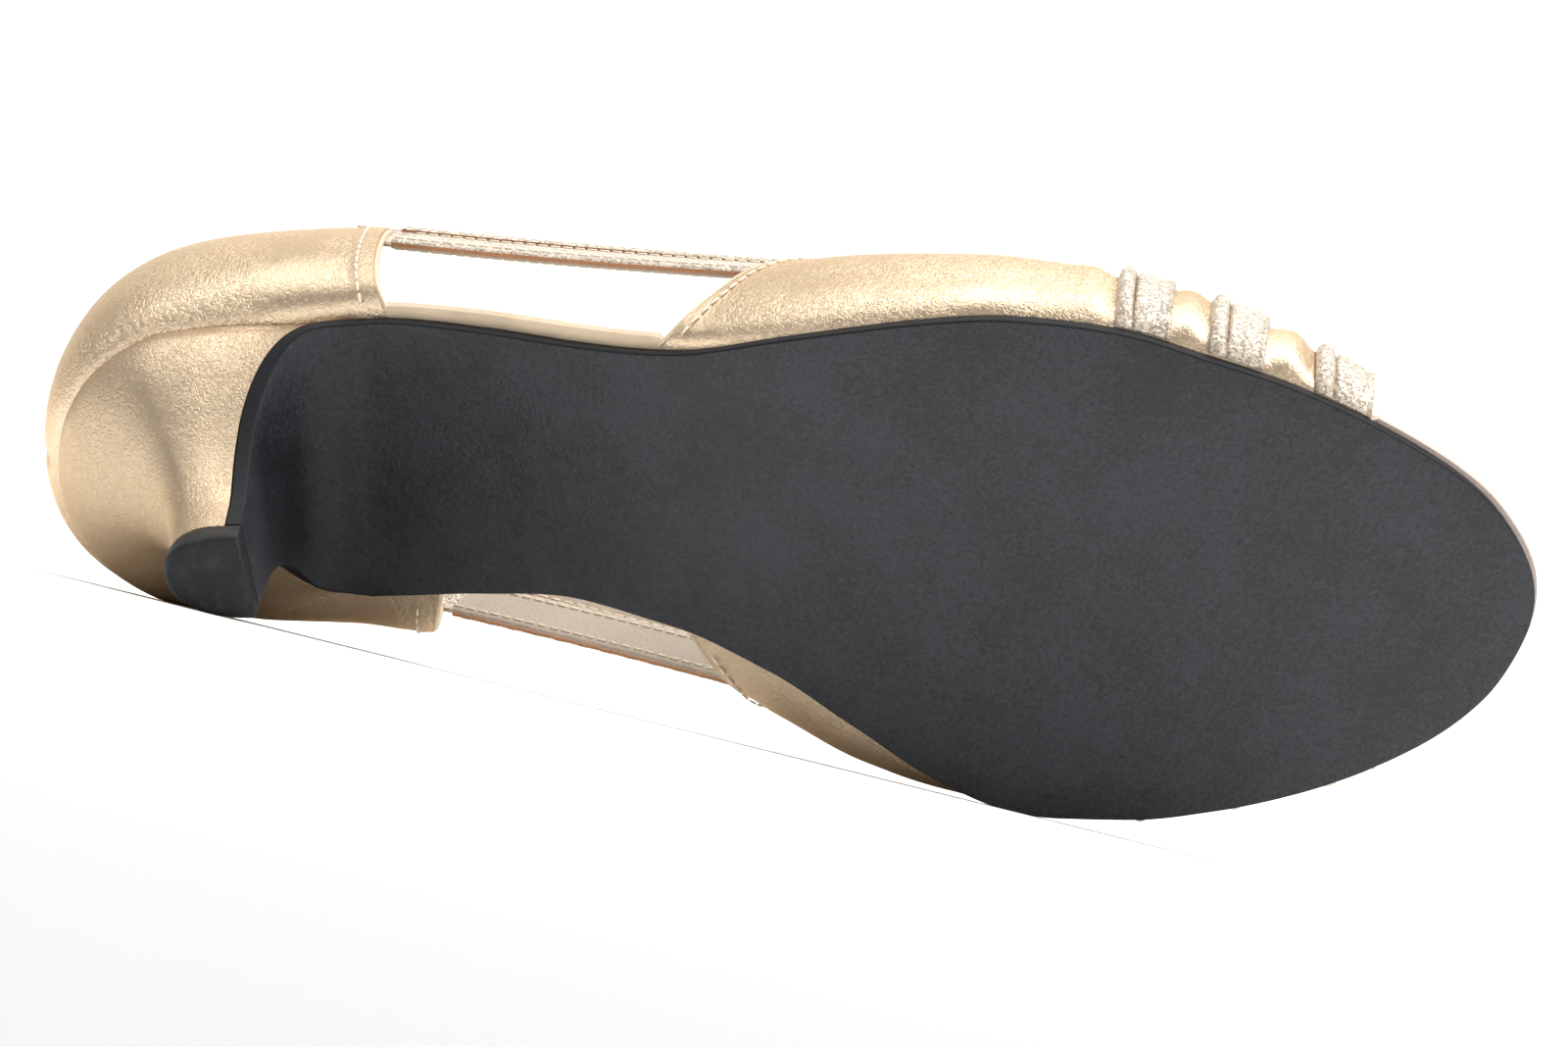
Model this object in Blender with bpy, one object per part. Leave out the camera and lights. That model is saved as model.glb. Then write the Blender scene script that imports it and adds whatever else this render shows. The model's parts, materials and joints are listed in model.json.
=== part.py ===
"""Open-toe dress sandal for the right foot, lying on its medial side.

The shoe is drawn in its own standing frame: x runs from the back of the heel seat to the toe,
y to the medial side and z up from the floor that heel and forefoot would stand on. At the end
the whole shoe is laid on its medial side, the way it comes to rest on a table.
"""
import math

import bmesh
import bpy
import numpy as np
from mathutils import Matrix, Vector

# Driving sizes in metres
LAST_LENGTH = 0.2473        # feather line, from the back of the seat to the tip of the toe
BALL_WIDTH = 0.0865         # feather line across the ball
SEAT_RISE = 0.0466          # seat above the forefoot
TOE_SPRING = 0.0050
INSTEP_HEIGHT = 0.062       # top of the foot above the insole, behind the vamp
BACK_HEIGHT = 0.052         # collar above the seat, at the back seam
BACK_BULGE = 0.0038         # counter past the seat, at the back
WIDEST_HEIGHT = 0.017       # widest line of the upper above the insole
COLLAR_LEAN = 0.0085        # how far the collar leans in over the foot
UPPER_WALL = 0.0016
TUCK = 0.0022               # lasting margin that lies on the sole, inside the feather line
SOLE_THICKNESS = 0.0025
SOLE_BEVEL = 0.0005
SOLE_MARGIN = 0.0023        # how far the insole runs past the sole, at most
INSOLE_THICKNESS = 0.0030
TOP_LIFT_HEIGHT = 0.0055
TOP_LIFT_LENGTH = 0.0134
TOP_LIFT_WIDTH = 0.0145
TOP_LIFT_BACK = 0.0253      # back of the top lift from the back of the seat
TOP_LIFT_SIDE = 0.0027      # middle of the top lift, towards the medial side
TOP_LIFT_BEVEL = 0.0007
TOP_LIFT_TURN = math.radians(8.6)
BREAST_CORNER_DROP = 0.0002 # the sole leaves the insole by this much where the bend starts
BREAST_GAP = 0.0004         # between the heel's front and the sole
SEAT_SETBACK = 0.0010       # the heel's upper front edge behind the bend's start
BAND_WIDTH = 0.0087
BAND_HEIGHT = 0.0016
CORD_WIDTH = 0.0027         # rolled cord at the heel side of each band
CORD_HEIGHT = 0.0021
STRAP_WIDTH = 0.0090
STRAP_THICKNESS = 0.0018
STRAP_SAG = 0.0005          # how far an empty strap falls in between its ends
STRAP_LAP = 0.0036          # length of a strap end inside the quarter
INSOLE_SETBACK = 0.0030     # insole's edge inside the feather line, under the upper
INSOLE_CLEAR = 0.0006       # the insole's wide part ends this far from the upper's edges
INSOLE_BLEND = 0.0016       # length over which the insole changes its width
GAP = 0.0003                # between two pieces that touch

# Places on the last and on the walls, as shares
TIP_SHARE = 0.0002          # first and last section, off the very tip
BEND_LEAD = 0.012           # last flat station of the sole, ahead of its bend
LIFT_POWER = 0.85           # squareness of the top lift's round back, 1 is an ellipse
RING_POINTS = 27            # round the heel and the top lift
STRAP_SEAT = 0.6            # middle of a strap's end in the quarter's wall, from outside
STRAP_REST = 0.8            # the same at the vamp
STRAP_END = 0.99            # strap's start along the quarter, just behind the front edge
BAND_END = 0.045            # where a band's ends lie along a section
BAND_EASE = 0.13            # where it has its full height
BAND_LOW = 0.35             # height left at its ends

# Feather line and widest line of the last. x is a share of LAST_LENGTH, the others are shares
# of BALL_WIDTH, medial positive: feather lateral, feather medial, widest lateral, widest medial.
OUTLINE_COLUMNS = ("x", "feather_lat", "feather_med", "widest_lat", "widest_med")
OUTLINE = (
    (0.000, 0.022, 0.022, 0.022, 0.022),
    (0.010, -0.104, 0.148, -0.140, 0.170),
    (0.035, -0.197, 0.240, -0.246, 0.266),
    (0.078, -0.262, 0.300, -0.322, 0.342),
    (0.142, -0.288, 0.311, -0.366, 0.377),
    (0.200, -0.316, 0.268, -0.387, 0.385),
    (0.240, -0.336, 0.251, -0.395, 0.384),
    (0.303, -0.350, 0.214, -0.405, 0.350),
    (0.372, -0.362, 0.181, -0.415, 0.315),
    (0.437, -0.384, 0.191, -0.430, 0.322),
    (0.500, -0.423, 0.246, -0.470, 0.405),
    (0.555, -0.456, 0.342, -0.503, 0.474),
    (0.607, -0.477, 0.443, -0.521, 0.508),
    (0.647, -0.483, 0.498, -0.525, 0.525),
    (0.684, -0.476, 0.520, -0.517, 0.538),
    (0.736, -0.453, 0.523, -0.487, 0.537),
    (0.787, -0.405, 0.507, -0.448, 0.518),
    (0.840, -0.350, 0.476, -0.383, 0.484),
    (0.917, -0.231, 0.395, -0.245, 0.400),
    (0.968, -0.113, 0.291, -0.120, 0.295),
    (0.988, -0.030, 0.208, -0.032, 0.210),
    (1.000, 0.086, 0.086, 0.086, 0.086),
)

# Bottom line of the last. rise is a share of SEAT_RISE, spring a share of TOE_SPRING.
PROFILE_COLUMNS = ("x", "rise", "spring")
PROFILE = (
    (0.000, 1.000, 0.00),
    (0.077, 0.992, 0.00),
    (0.142, 0.970, 0.00),
    (0.198, 0.927, 0.00),
    (0.235, 0.866, 0.00),
    (0.303, 0.697, 0.00),
    (0.372, 0.483, 0.00),
    (0.437, 0.266, 0.00),
    (0.501, 0.105, 0.00),
    (0.555, 0.028, 0.00),
    (0.607, 0.000, 0.00),
    (0.750, 0.000, 0.00),
    (0.840, 0.000, 0.12),
    (0.920, 0.000, 0.46),
    (1.000, 0.000, 1.00),
)

# Height of the arch over the foot. ridge is a share of INSTEP_HEIGHT, side of BALL_WIDTH,
# widest of WIDEST_HEIGHT, and fullness is the exponent of the arch (2 is an ellipse).
ARCH_COLUMNS = ("x", "ridge", "side", "widest", "fullness")
ARCH = (
    (0.240, 1.300, -0.020, 1.00, 2.0),
    (0.425, 1.000, 0.010, 1.00, 2.0),
    (0.485, 0.935, 0.040, 1.00, 2.0),
    (0.546, 0.845, 0.065, 0.98, 2.1),
    (0.607, 0.735, 0.085, 0.90, 2.1),
    (0.667, 0.625, 0.095, 0.82, 2.2),
    (0.728, 0.535, 0.095, 0.74, 2.3),
    (0.809, 0.435, 0.095, 0.62, 2.3),
    (0.890, 0.350, 0.090, 0.48, 2.3),
    (1.000, 0.250, 0.086, 0.35, 2.3),
)

# Quarter, round the heel. x as above, height is a share of BACK_HEIGHT, lean of COLLAR_LEAN,
# back of BACK_BULGE.
QUARTER_COLUMNS = ("x", "height", "lean", "back")
QUARTER = (
    (0.000, 1.000, 0.55, 1.00),
    (0.010, 0.998, 0.62, 0.84),
    (0.035, 0.985, 0.80, 0.62),
    (0.078, 0.950, 0.95, 0.38),
    (0.142, 0.880, 0.95, 0.12),
    (0.200, 0.800, 0.80, 0.00),
    (0.270, 0.740, 0.60, 0.00),
)
QUARTER_FRONT_LAT = 0.234   # shares of LAST_LENGTH, at the feather line
QUARTER_FRONT_MED = 0.266
QUARTER_RAKE = 0.0030       # the front edges lean back by this much at the widest line
QUARTER_SPLIT = 0.42        # share of the quarter's wall below its widest line
BACK_ROUNDNESS = 1.8        # how soon the quarter's lean turns from forward to inward

# Vamp edges. across runs from 0 at the lateral feather line to 1 at the medial one, and the
# others are shares of LAST_LENGTH.
VAMP_COLUMNS = ("across", "throat", "toe")
VAMP = (
    (0.00, 0.426, 0.893),
    (0.08, 0.446, 0.893),
    (0.16, 0.476, 0.893),
    (0.30, 0.540, 0.891),
    (0.50, 0.600, 0.889),
    (0.70, 0.548, 0.891),
    (0.84, 0.490, 0.893),
    (0.92, 0.462, 0.893),
    (1.00, 0.434, 0.893),
)
LOWER_SHARE = 0.16          # share of a section below its widest line, each side
LIP_FLATNESS = 1.25         # how long the wall stays flat on the sole before it turns up
WALL_STEPS = (0.0, 0.06, 0.22, 0.42, 0.62, 0.81, 1.0)   # rows from the base to the widest line

# Breast and flare of the heel, down from the seat. reach is the sole's upper face in front of
# its place at the top lift, in shares of TOP_LIFT_LENGTH, fall its height from the breast corner
# to the top lift, lateral and medial how far each side has narrowed, drop the height of the
# heel's back and back how far that has come forward.
HEEL_COLUMNS = ("down", "reach", "fall", "lateral", "medial", "drop", "back")
HEEL = (
    (0.00, 1.330, 0.000, 0.00, 0.00, 0.00, 0.00),
    (0.05, 1.030, -0.006, 0.01, 0.03, 0.02, 0.02),
    (0.10, 0.730, 0.014, 0.02, 0.08, 0.05, 0.05),
    (0.17, 0.480, 0.062, 0.06, 0.20, 0.11, 0.12),
    (0.25, 0.300, 0.140, 0.15, 0.42, 0.20, 0.25),
    (0.36, 0.150, 0.275, 0.34, 0.72, 0.33, 0.47),
    (0.50, 0.050, 0.440, 0.58, 0.90, 0.48, 0.69),
    (0.66, 0.010, 0.625, 0.80, 0.97, 0.65, 0.87),
    (0.82, 0.005, 0.800, 0.94, 0.99, 0.82, 0.96),
    (1.00, 0.000, 1.000, 1.00, 1.00, 1.00, 1.00),
)

# Stations of the sole and of the heel, on the way down
SOLE_DOWNS = (0.0, 0.03, 0.06, 0.09, 0.12, 0.15, 0.18, 0.21, 0.25, 0.3, 0.36, 0.43, 0.5, 0.58, 0.66,
              0.74, 0.82, 0.91, 1.0)
HEEL_DOWNS = (0.0, 0.05, 0.10, 0.15, 0.20, 0.26, 0.33, 0.41, 0.50, 0.60, 0.72, 0.86, 1.0)

# How far the sole stays inside the feather line, in shares of SOLE_MARGIN.
SOLE_COLUMNS = ("x", "lateral", "medial")
SOLE_INSET = (
    (0.000, 0.10, 0.10),
    (0.120, 0.10, 0.10),
    (0.190, 0.75, 0.10),
    (0.240, 0.85, 0.10),
    (0.370, 1.00, 0.10),
    (0.440, 0.85, 0.10),
    (0.520, 0.30, 0.10),
    (0.640, 0.15, 0.12),
    (0.800, 0.20, 0.15),
    (0.900, 0.28, 0.25),
    (1.000, 0.32, 0.32),
)

# Toe bands: heel-side edge of each, as a share of LAST_LENGTH, lateral and medial. Their
# section goes from that edge to the toe side: along the cord in shares of CORD_WIDTH and
# CORD_HEIGHT, then along the flat band in shares of BAND_WIDTH and BAND_HEIGHT.
BAND_COLUMNS = ("lateral", "medial")
BANDS = (
    (0.727, 0.735),
    (0.787, 0.797),
    (0.856, 0.858),
)
CORD_SECTION = ((0.02, 0.45), (0.25, 0.90), (0.50, 1.00), (0.80, 0.85), (1.00, 0.45))
BAND_SECTION = ((0.348, 0.90), (0.465, 1.00), (0.930, 1.00), (1.000, 0.60))

# Straps: side (-1 lateral), height on the quarter's front edge and on the vamp as shares
# of WIDEST_HEIGHT, place of the vamp end along LAST_LENGTH, lean of both ends in degrees.
STRAP_COLUMNS = ("side", "quarter_height", "vamp_height", "vamp_x", "lean")
STRAPS = (
    (-1, 1.45, 1.45, 0.497, 12.0),
    (-1, 2.02, 2.10, 0.540, 32.0),
    (1, 1.45, 1.45, 0.506, 12.0),
    (1, 2.02, 2.10, 0.548, 32.0),
)

# Colours, linear
GOLD = (0.62, 0.44, 0.25, 1.0)
BLACK = (0.035, 0.036, 0.040, 1.0)
RUBBER = (0.020, 0.021, 0.023, 1.0)
GLITTER = (0.48, 0.38, 0.27, 1.0)
LINING = (0.55, 0.42, 0.32, 1.0)


def column(table, names, name):
    """One named column of a table, as an array."""
    return np.array([row[names.index(name)] for row in table], float)


def monotone(xs, ys, x):
    """Smooth curve through the rows that never overshoots them."""
    step = np.diff(xs)
    slope = np.diff(ys) / step
    tangent = np.zeros(len(xs))
    tangent[0] = slope[0]
    tangent[-1] = slope[-1]
    for i in range(1, len(xs) - 1):
        if slope[i - 1] * slope[i] > 0:
            before = 2 * step[i] + step[i - 1]
            after = step[i] + 2 * step[i - 1]
            tangent[i] = (before + after) / (before / slope[i - 1] + after / slope[i])
    x = min(max(x, xs[0]), xs[-1])
    i = min(int(np.searchsorted(xs, x, side="right")) - 1, len(xs) - 2)
    t = (x - xs[i]) / step[i]
    return float(
        (1 + 2 * t) * (1 - t) ** 2 * ys[i]
        + t * (1 - t) ** 2 * step[i] * tangent[i]
        + t * t * (3 - 2 * t) * ys[i + 1]
        + t * t * (t - 1) * step[i] * tangent[i + 1]
    )


def read(table, names, name, key):
    """Value of a column at a place along the table's first column."""
    return monotone(column(table, names, names[0]), column(table, names, name), key)


def turn_of(share):
    """Angle of a half circle over the last's length, which keeps both of its ends round."""
    return math.acos(1 - 2 * min(max(share, 0.0), 1.0))


OUTLINE_TURNS = np.array([turn_of(row[0]) for row in OUTLINE])


def side_name(side):
    return "lat" if side < 0 else "med"


def outline_y(line, side, share):
    """y of the feather or widest line at a share of the length."""
    ys = column(OUTLINE, OUTLINE_COLUMNS, line + "_" + side_name(side))
    return BALL_WIDTH * monotone(OUTLINE_TURNS, ys, turn_of(share))


def bottom_z(share):
    """Height of the insole's underside."""
    rise = read(PROFILE, PROFILE_COLUMNS, "rise", share)
    spring = read(PROFILE, PROFILE_COLUMNS, "spring", share)
    return SOLE_THICKNESS + GAP + SEAT_RISE * rise + TOE_SPRING * spring


def feather_point(turn):
    """Feather line by its angle: 0 at the back, to pi at the toe on the medial side and to
    minus pi on the lateral side."""
    side = -1 if turn < 0 else 1
    share = (1 - math.cos(turn)) / 2
    return Vector((share * LAST_LENGTH, outline_y("feather", side, share)))


def edge_point(side, share, inset):
    """Point a given distance inside the feather line."""
    turn = side * turn_of(share)
    reach = 0.01
    along = feather_point(turn + reach) - feather_point(turn - reach)
    if abs(turn) + reach > math.pi:
        along = feather_point(turn) - feather_point(turn - side * reach)
        along = along * side
    inward = Vector((along.y, -along.x)).normalized()
    return feather_point(turn) + inward * inset


def lower_wall(side, share, t):
    """Point below the widest line: t is 0 at the base on the sole, 1 at the widest line."""
    base = outline_y("feather", side, share) - side * TUCK
    widest = outline_y("widest", side, share)
    rise = WIDEST_HEIGHT * read(ARCH, ARCH_COLUMNS, "widest", share)
    turn = t * math.pi / 2
    y = base + (widest - base) * math.sin(turn)
    return y, bottom_z(share) + rise * (1 - math.cos(turn)) ** LIP_FLATNESS


def arch_point(share, across):
    """Outer surface of the last at a section: across is 0 lateral to 1 medial."""
    if across < LOWER_SHARE:
        y, z = lower_wall(-1, share, across / LOWER_SHARE)
        return Vector((share * LAST_LENGTH, y, z))
    if across > 1 - LOWER_SHARE:
        y, z = lower_wall(1, share, (1 - across) / LOWER_SHARE)
        return Vector((share * LAST_LENGTH, y, z))
    turn = math.pi * (across - LOWER_SHARE) / (1 - 2 * LOWER_SHARE)
    power = 2 / read(ARCH, ARCH_COLUMNS, "fullness", share)
    ridge_y = BALL_WIDTH * read(ARCH, ARCH_COLUMNS, "side", share)
    ridge_z = INSTEP_HEIGHT * read(ARCH, ARCH_COLUMNS, "ridge", share)
    widest_z = WIDEST_HEIGHT * read(ARCH, ARCH_COLUMNS, "widest", share)
    side = -1 if turn < math.pi / 2 else 1
    widest_y = outline_y("widest", side, share)
    y = ridge_y + (widest_y - ridge_y) * abs(math.cos(turn)) ** power
    z = widest_z + (ridge_z - widest_z) * math.sin(turn) ** power
    return Vector((share * LAST_LENGTH, y, bottom_z(share) + z))


def vamp_point(along, across):
    """Outer vamp: along is 0 at the throat edge and 1 at the toe edge."""
    throat = read(VAMP, VAMP_COLUMNS, "throat", across)
    toe = read(VAMP, VAMP_COLUMNS, "toe", across)
    return arch_point(throat + (toe - throat) * along, across)


def quarter_point(round_heel, up):
    """Outer quarter: round_heel is -1 at the lateral front edge, 1 at the medial one, and up
    is 0 at the base on the seat, 1 at the collar."""
    side = -1 if round_heel < 0 else 1
    front = QUARTER_FRONT_LAT if side < 0 else QUARTER_FRONT_MED
    turn = turn_of(front) * abs(round_heel)
    share = (1 - math.cos(turn)) / 2
    base = edge_point(side, share, TUCK)
    bulge = BACK_BULGE * read(QUARTER, QUARTER_COLUMNS, "back", share)
    widest_x = share * LAST_LENGTH - bulge
    widest_y = outline_y("widest", side, share)
    rake = QUARTER_RAKE * abs(round_heel) ** 6
    floor = bottom_z(base.x / LAST_LENGTH)
    if up < QUARTER_SPLIT:
        lift = (up / QUARTER_SPLIT) * math.pi / 2
        out = math.sin(lift)
        x = base.x + (widest_x - rake - base.x) * out
        y = base.y + (widest_y - base.y) * out
        rise = WIDEST_HEIGHT * (1 - math.cos(lift)) ** LIP_FLATNESS
        return Vector((x, y, floor + rise))
    t = (up - QUARTER_SPLIT) / (1 - QUARTER_SPLIT)
    lean = COLLAR_LEAN * read(QUARTER, QUARTER_COLUMNS, "lean", share) * t * t
    facing = min(turn * BACK_ROUNDNESS, math.pi / 2)
    x = widest_x - rake + lean * math.cos(facing)
    y = widest_y - side * lean * math.sin(facing)
    height = BACK_HEIGHT * read(QUARTER, QUARTER_COLUMNS, "height", share)
    rise = WIDEST_HEIGHT + (height - WIDEST_HEIGHT) * t
    return Vector((x, y, floor + rise))


def wall_loops(point, us, vs):
    """Closed loops of a wall: its outer side from v 0 to 1 and its inner side back, one for
    each u. The inner side stands UPPER_WALL inside the outer one."""
    grid = [[point(u, v) for v in vs] for u in us]
    loops = []
    for i in range(len(us)):
        inner = []
        for j in range(len(vs)):
            inner.append(grid[i][j] - normal_at(grid, i, j) * UPPER_WALL)
        loops.append(grid[i] + inner[::-1])
    return loops


def normal_at(grid, i, j):
    """Outward normal of a grid of points that runs round the foot and then up or forward."""
    last_i = len(grid) - 1
    last_j = len(grid[0]) - 1
    along = grid[min(i + 1, last_i)][j] - grid[max(i - 1, 0)][j]
    up = grid[i][min(j + 1, last_j)] - grid[i][max(j - 1, 0)]
    return up.cross(along).normalized()


def loft(name, loops, material):
    """Solid through closed loops with as many points each, its ends closed in pairs."""
    mesh = bpy.data.meshes.new(name)
    work = bmesh.new()
    rows = [[work.verts.new(point) for point in loop] for loop in loops]
    count = len(loops[0])
    for before, after in zip(rows, rows[1:]):
        for k in range(count):
            n = (k + 1) % count
            work.faces.new((before[k], before[n], after[n], after[k]))
    for row in (rows[0], rows[-1]):
        for k in range((count - 1) // 2):
            corners = (row[k], row[k + 1], row[count - 2 - k], row[count - 1 - k])
            work.faces.new(corners[:2] + corners[3:] if k + 1 == count - 2 - k else corners)
    bmesh.ops.triangulate(work, faces=work.faces[:])
    bmesh.ops.recalc_face_normals(work, faces=work.faces[:])
    work.to_mesh(mesh)
    work.free()
    obj = bpy.data.objects.new(name, mesh)
    bpy.context.scene.collection.objects.link(obj)
    mesh.materials.append(material)
    mesh.shade_smooth()
    mesh.set_sharp_from_angle(angle=math.radians(40))
    return obj


def material(name, colour, roughness, metallic=0.0):
    mat = bpy.data.materials.new(name)
    mat.use_nodes = True
    shader = mat.node_tree.nodes["Principled BSDF"]
    shader.inputs["Base Color"].default_value = colour
    shader.inputs["Roughness"].default_value = roughness
    shader.inputs["Metallic"].default_value = metallic
    mat.diffuse_color = colour
    return mat


def spaced(count, low=0.0, high=1.0):
    return [low + (high - low) * i / (count - 1) for i in range(count)]


def round_spaced(count, low, high):
    """Shares of the length between low and high, close together at the round ends."""
    return [(1 - math.cos(turn)) / 2 for turn in spaced(count, turn_of(low), turn_of(high))]


def heel_value(name, down):
    return read(HEEL, HEEL_COLUMNS, name, down)


def twisted(x, y, down):
    """The heel turns by TOP_LIFT_TURN from the seat to the top lift."""
    narrow = (heel_value("lateral", down) + heel_value("medial", down)) / 2
    return x + (y - TOP_LIFT_SIDE) * math.tan(TOP_LIFT_TURN) * narrow


def top_lift_front():
    return TOP_LIFT_BACK + TOP_LIFT_LENGTH


def breast_place(down):
    """x and z of the sole's upper face, from the bend under the seat down to the top lift."""
    x = top_lift_front() - SOLE_THICKNESS + TOP_LIFT_LENGTH * heel_value("reach", down)
    corner = top_lift_front() - SOLE_THICKNESS + TOP_LIFT_LENGTH * heel_value("reach", 0)
    top = bottom_z(corner / LAST_LENGTH) - GAP - BREAST_CORNER_DROP
    foot = TOP_LIFT_HEIGHT + GAP
    return Vector((x, 0, top + (foot - top) * heel_value("fall", down)))


def sole_inset(side, share):
    name = "lateral" if side < 0 else "medial"
    return SOLE_MARGIN * read(SOLE_INSET, SOLE_COLUMNS, name, share)


def breast_edges(down):
    """Lateral and medial y of the sole down the breast, flush with the heel's sides."""
    share = breast_place(0).x / LAST_LENGTH
    edges = []
    for side, name in ((-1, "lateral"), (1, "medial")):
        seat = outline_y("feather", side, share) - side * sole_inset(side, share)
        foot = TOP_LIFT_SIDE + side * TOP_LIFT_WIDTH / 2
        edges.append(seat + (foot - seat) * heel_value(name, down))
    return edges


def sole_stations():
    """Stations of the sole from the toe back through the waist and down the breast: the
    lateral and medial edge of its upper face and the way down the heel."""
    stations = []
    corner = breast_place(0).x / LAST_LENGTH
    for share in round_spaced(44, 1 - TIP_SHARE, corner + BEND_LEAD):
        edges = []
        for side in (-1, 1):
            edge = edge_point(side, share, sole_inset(side, share))
            edges.append(Vector((edge.x, edge.y, bottom_z(edge.x / LAST_LENGTH) - GAP)))
        stations.append((edges, 0.0))
    for down in SOLE_DOWNS:
        place = breast_place(down)
        edges = []
        for y in breast_edges(down):
            edges.append(Vector((place.x, y, place.z)))
        stations.append((edges, down))
    return stations


def build_outsole(mat):
    stations = sole_stations()
    middles = [(edges[0] + edges[1]) / 2 for edges, down in stations]
    last = len(stations) - 1
    loops = []
    for i, (edges, down) in enumerate(stations):
        ahead = middles[min(i + 1, last)] - middles[max(i - 1, 0)]
        under = Vector((-ahead.z, 0, ahead.x)).normalized()
        if i == last:
            under = Vector((1, 0, 0))
        bevel = Vector((0, SOLE_BEVEL, 0))
        if (edges[1] - edges[0]).length < 4 * SOLE_BEVEL:
            bevel = (edges[1] - edges[0]) / 4
        side_face = under * (SOLE_THICKNESS - SOLE_BEVEL)
        face = under * SOLE_THICKNESS
        loop = [edges[0], edges[0] + side_face, edges[0] + face + bevel,
                edges[1] + face - bevel, edges[1] + side_face, edges[1].copy()]
        loops.append([Vector((twisted(p.x, p.y, down), p.y, p.z)) for p in loop])
    return loft("outsole", loops, mat)


def top_lift_ring(z, inset):
    """D-shaped ring of the top lift, from its lateral front corner round the back."""
    half = TOP_LIFT_WIDTH / 2 - inset
    front = top_lift_front() - inset
    depth = TOP_LIFT_LENGTH - 2 * inset
    ring = []
    for turn in spaced(RING_POINTS, 0, math.pi):
        across = math.copysign(abs(math.cos(turn)) ** LIFT_POWER, math.cos(turn))
        y = TOP_LIFT_SIDE - half * across
        x = front - depth * abs(math.sin(turn)) ** LIFT_POWER
        ring.append(Vector((twisted(x, y, 1.0), y, z)))
    return ring


def build_top_lift(mat):
    top = TOP_LIFT_HEIGHT
    levels = ((0.0, TOP_LIFT_BEVEL), (TOP_LIFT_BEVEL, 0.0), (top, 0.0))
    return loft("top_lift", [top_lift_ring(z, inset) for z, inset in levels], mat)


def seat_ring(front):
    """Seat outline of the heel, from its lateral front corner round the back."""
    ring = []
    for t in spaced(RING_POINTS, -1, 1):
        side = -1 if t < 0 else 1
        share = (1 - math.cos(turn_of(front) * abs(t))) / 2
        ring.append(edge_point(side, share, sole_inset(side, share) + GAP))
    return ring


def build_heel(mat):
    """The heel: D-shaped sections from the seat to the top lift."""
    seat_front = breast_place(0).x - SEAT_SETBACK
    seat = seat_ring(seat_front / LAST_LENGTH)
    foot = top_lift_ring(0.0, GAP)
    middle = len(seat) // 2
    loops = []
    for down in HEEL_DOWNS:
        back = heel_value("back", down)
        behind = breast_place(max(down - 0.02, 0)) - breast_place(min(down + 0.02, 1))
        off = Vector((-behind.z, 0, behind.x)).normalized() * BREAST_GAP
        front = breast_place(down) + off
        if down == 0:
            front = Vector((seat_front, 0, bottom_z(seat_front / LAST_LENGTH) - GAP))
        back_x = seat[middle].x + (TOP_LIFT_BACK + GAP - seat[middle].x) * back
        seat_z = bottom_z(seat[middle].x / LAST_LENGTH) - GAP
        back_z = seat_z + (TOP_LIFT_HEIGHT + GAP - seat_z) * heel_value("drop", down)
        loop = []
        for k, place in enumerate(seat):
            foot_x = foot[k].x - (twisted(0, foot[k].y, 1.0))
            depth_seat = (seat_front - place.x) / (seat_front - seat[middle].x)
            depth_foot = (top_lift_front() - GAP - foot_x) / (TOP_LIFT_LENGTH - 2 * GAP)
            across = (place.y - seat[0].y) / (seat[-1].y - seat[0].y)
            across = min(max(across, 0.0), 1.0)
            narrow = heel_value("lateral", down) * (1 - across)
            narrow += heel_value("medial", down) * across
            depth = depth_seat + (depth_foot - depth_seat) * narrow
            depth = min(max(depth, 0.0), 1.0)
            y = place.y + (foot[k].y - place.y) * narrow
            x = front.x - (front.x - back_x) * depth
            z = front.z + (back_z - front.z) * depth
            if down == 0:
                z = bottom_z(x / LAST_LENGTH) - GAP
            loop.append(Vector((twisted(x, y, down), y, z)))
        loops.append(loop)
    return loft("heel", loops, mat)


def insole_turns(side):
    """Shares at which the insole widens behind the quarter, narrows before the vamp and
    widens again past the toe edge: start and end of each."""
    clear = INSOLE_CLEAR / LAST_LENGTH
    blend = INSOLE_BLEND / LAST_LENGTH
    front = (QUARTER_FRONT_LAT if side < 0 else QUARTER_FRONT_MED) + clear
    throat = read(VAMP, VAMP_COLUMNS, "throat", 0.0 if side < 0 else 1.0) - clear
    toe = read(VAMP, VAMP_COLUMNS, "toe", 0.0) + clear
    return (front, front + blend), (throat - blend, throat), (toe, toe + blend)


def insole_inset(side, share):
    """The insole stands inside the upper's wall where there is one, and reaches the feather
    line at the open waist and the open toe."""
    front, throat, toe = insole_turns(side)
    waist = step(share, *front) * (1 - step(share, *throat))
    return INSOLE_SETBACK * (1 - max(waist, step(share, *toe)))


def step(value, low, high):
    t = min(max((value - low) / (high - low), 0.0), 1.0)
    return t * t * (3 - 2 * t)


def insole_shares():
    """Sections of the insole, with some more where its width changes."""
    shares = round_spaced(56, TIP_SHARE, 1 - TIP_SHARE)
    for side in (-1, 1):
        for start, end in insole_turns(side):
            shares += spaced(4, start, end)
    return sorted(shares)


def build_insole(mat):
    loops = []
    for share in insole_shares():
        loop = []
        for side in (-1, 1):
            edge = edge_point(side, share, insole_inset(side, share))
            z = bottom_z(edge.x / LAST_LENGTH)
            loop.append(Vector((edge.x, edge.y, z)))
            loop.append(Vector((edge.x, edge.y, z + INSOLE_THICKNESS)))
        loops.append([loop[0], loop[1], loop[3], loop[2]])
    return loft("insole", loops, mat)


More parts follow.
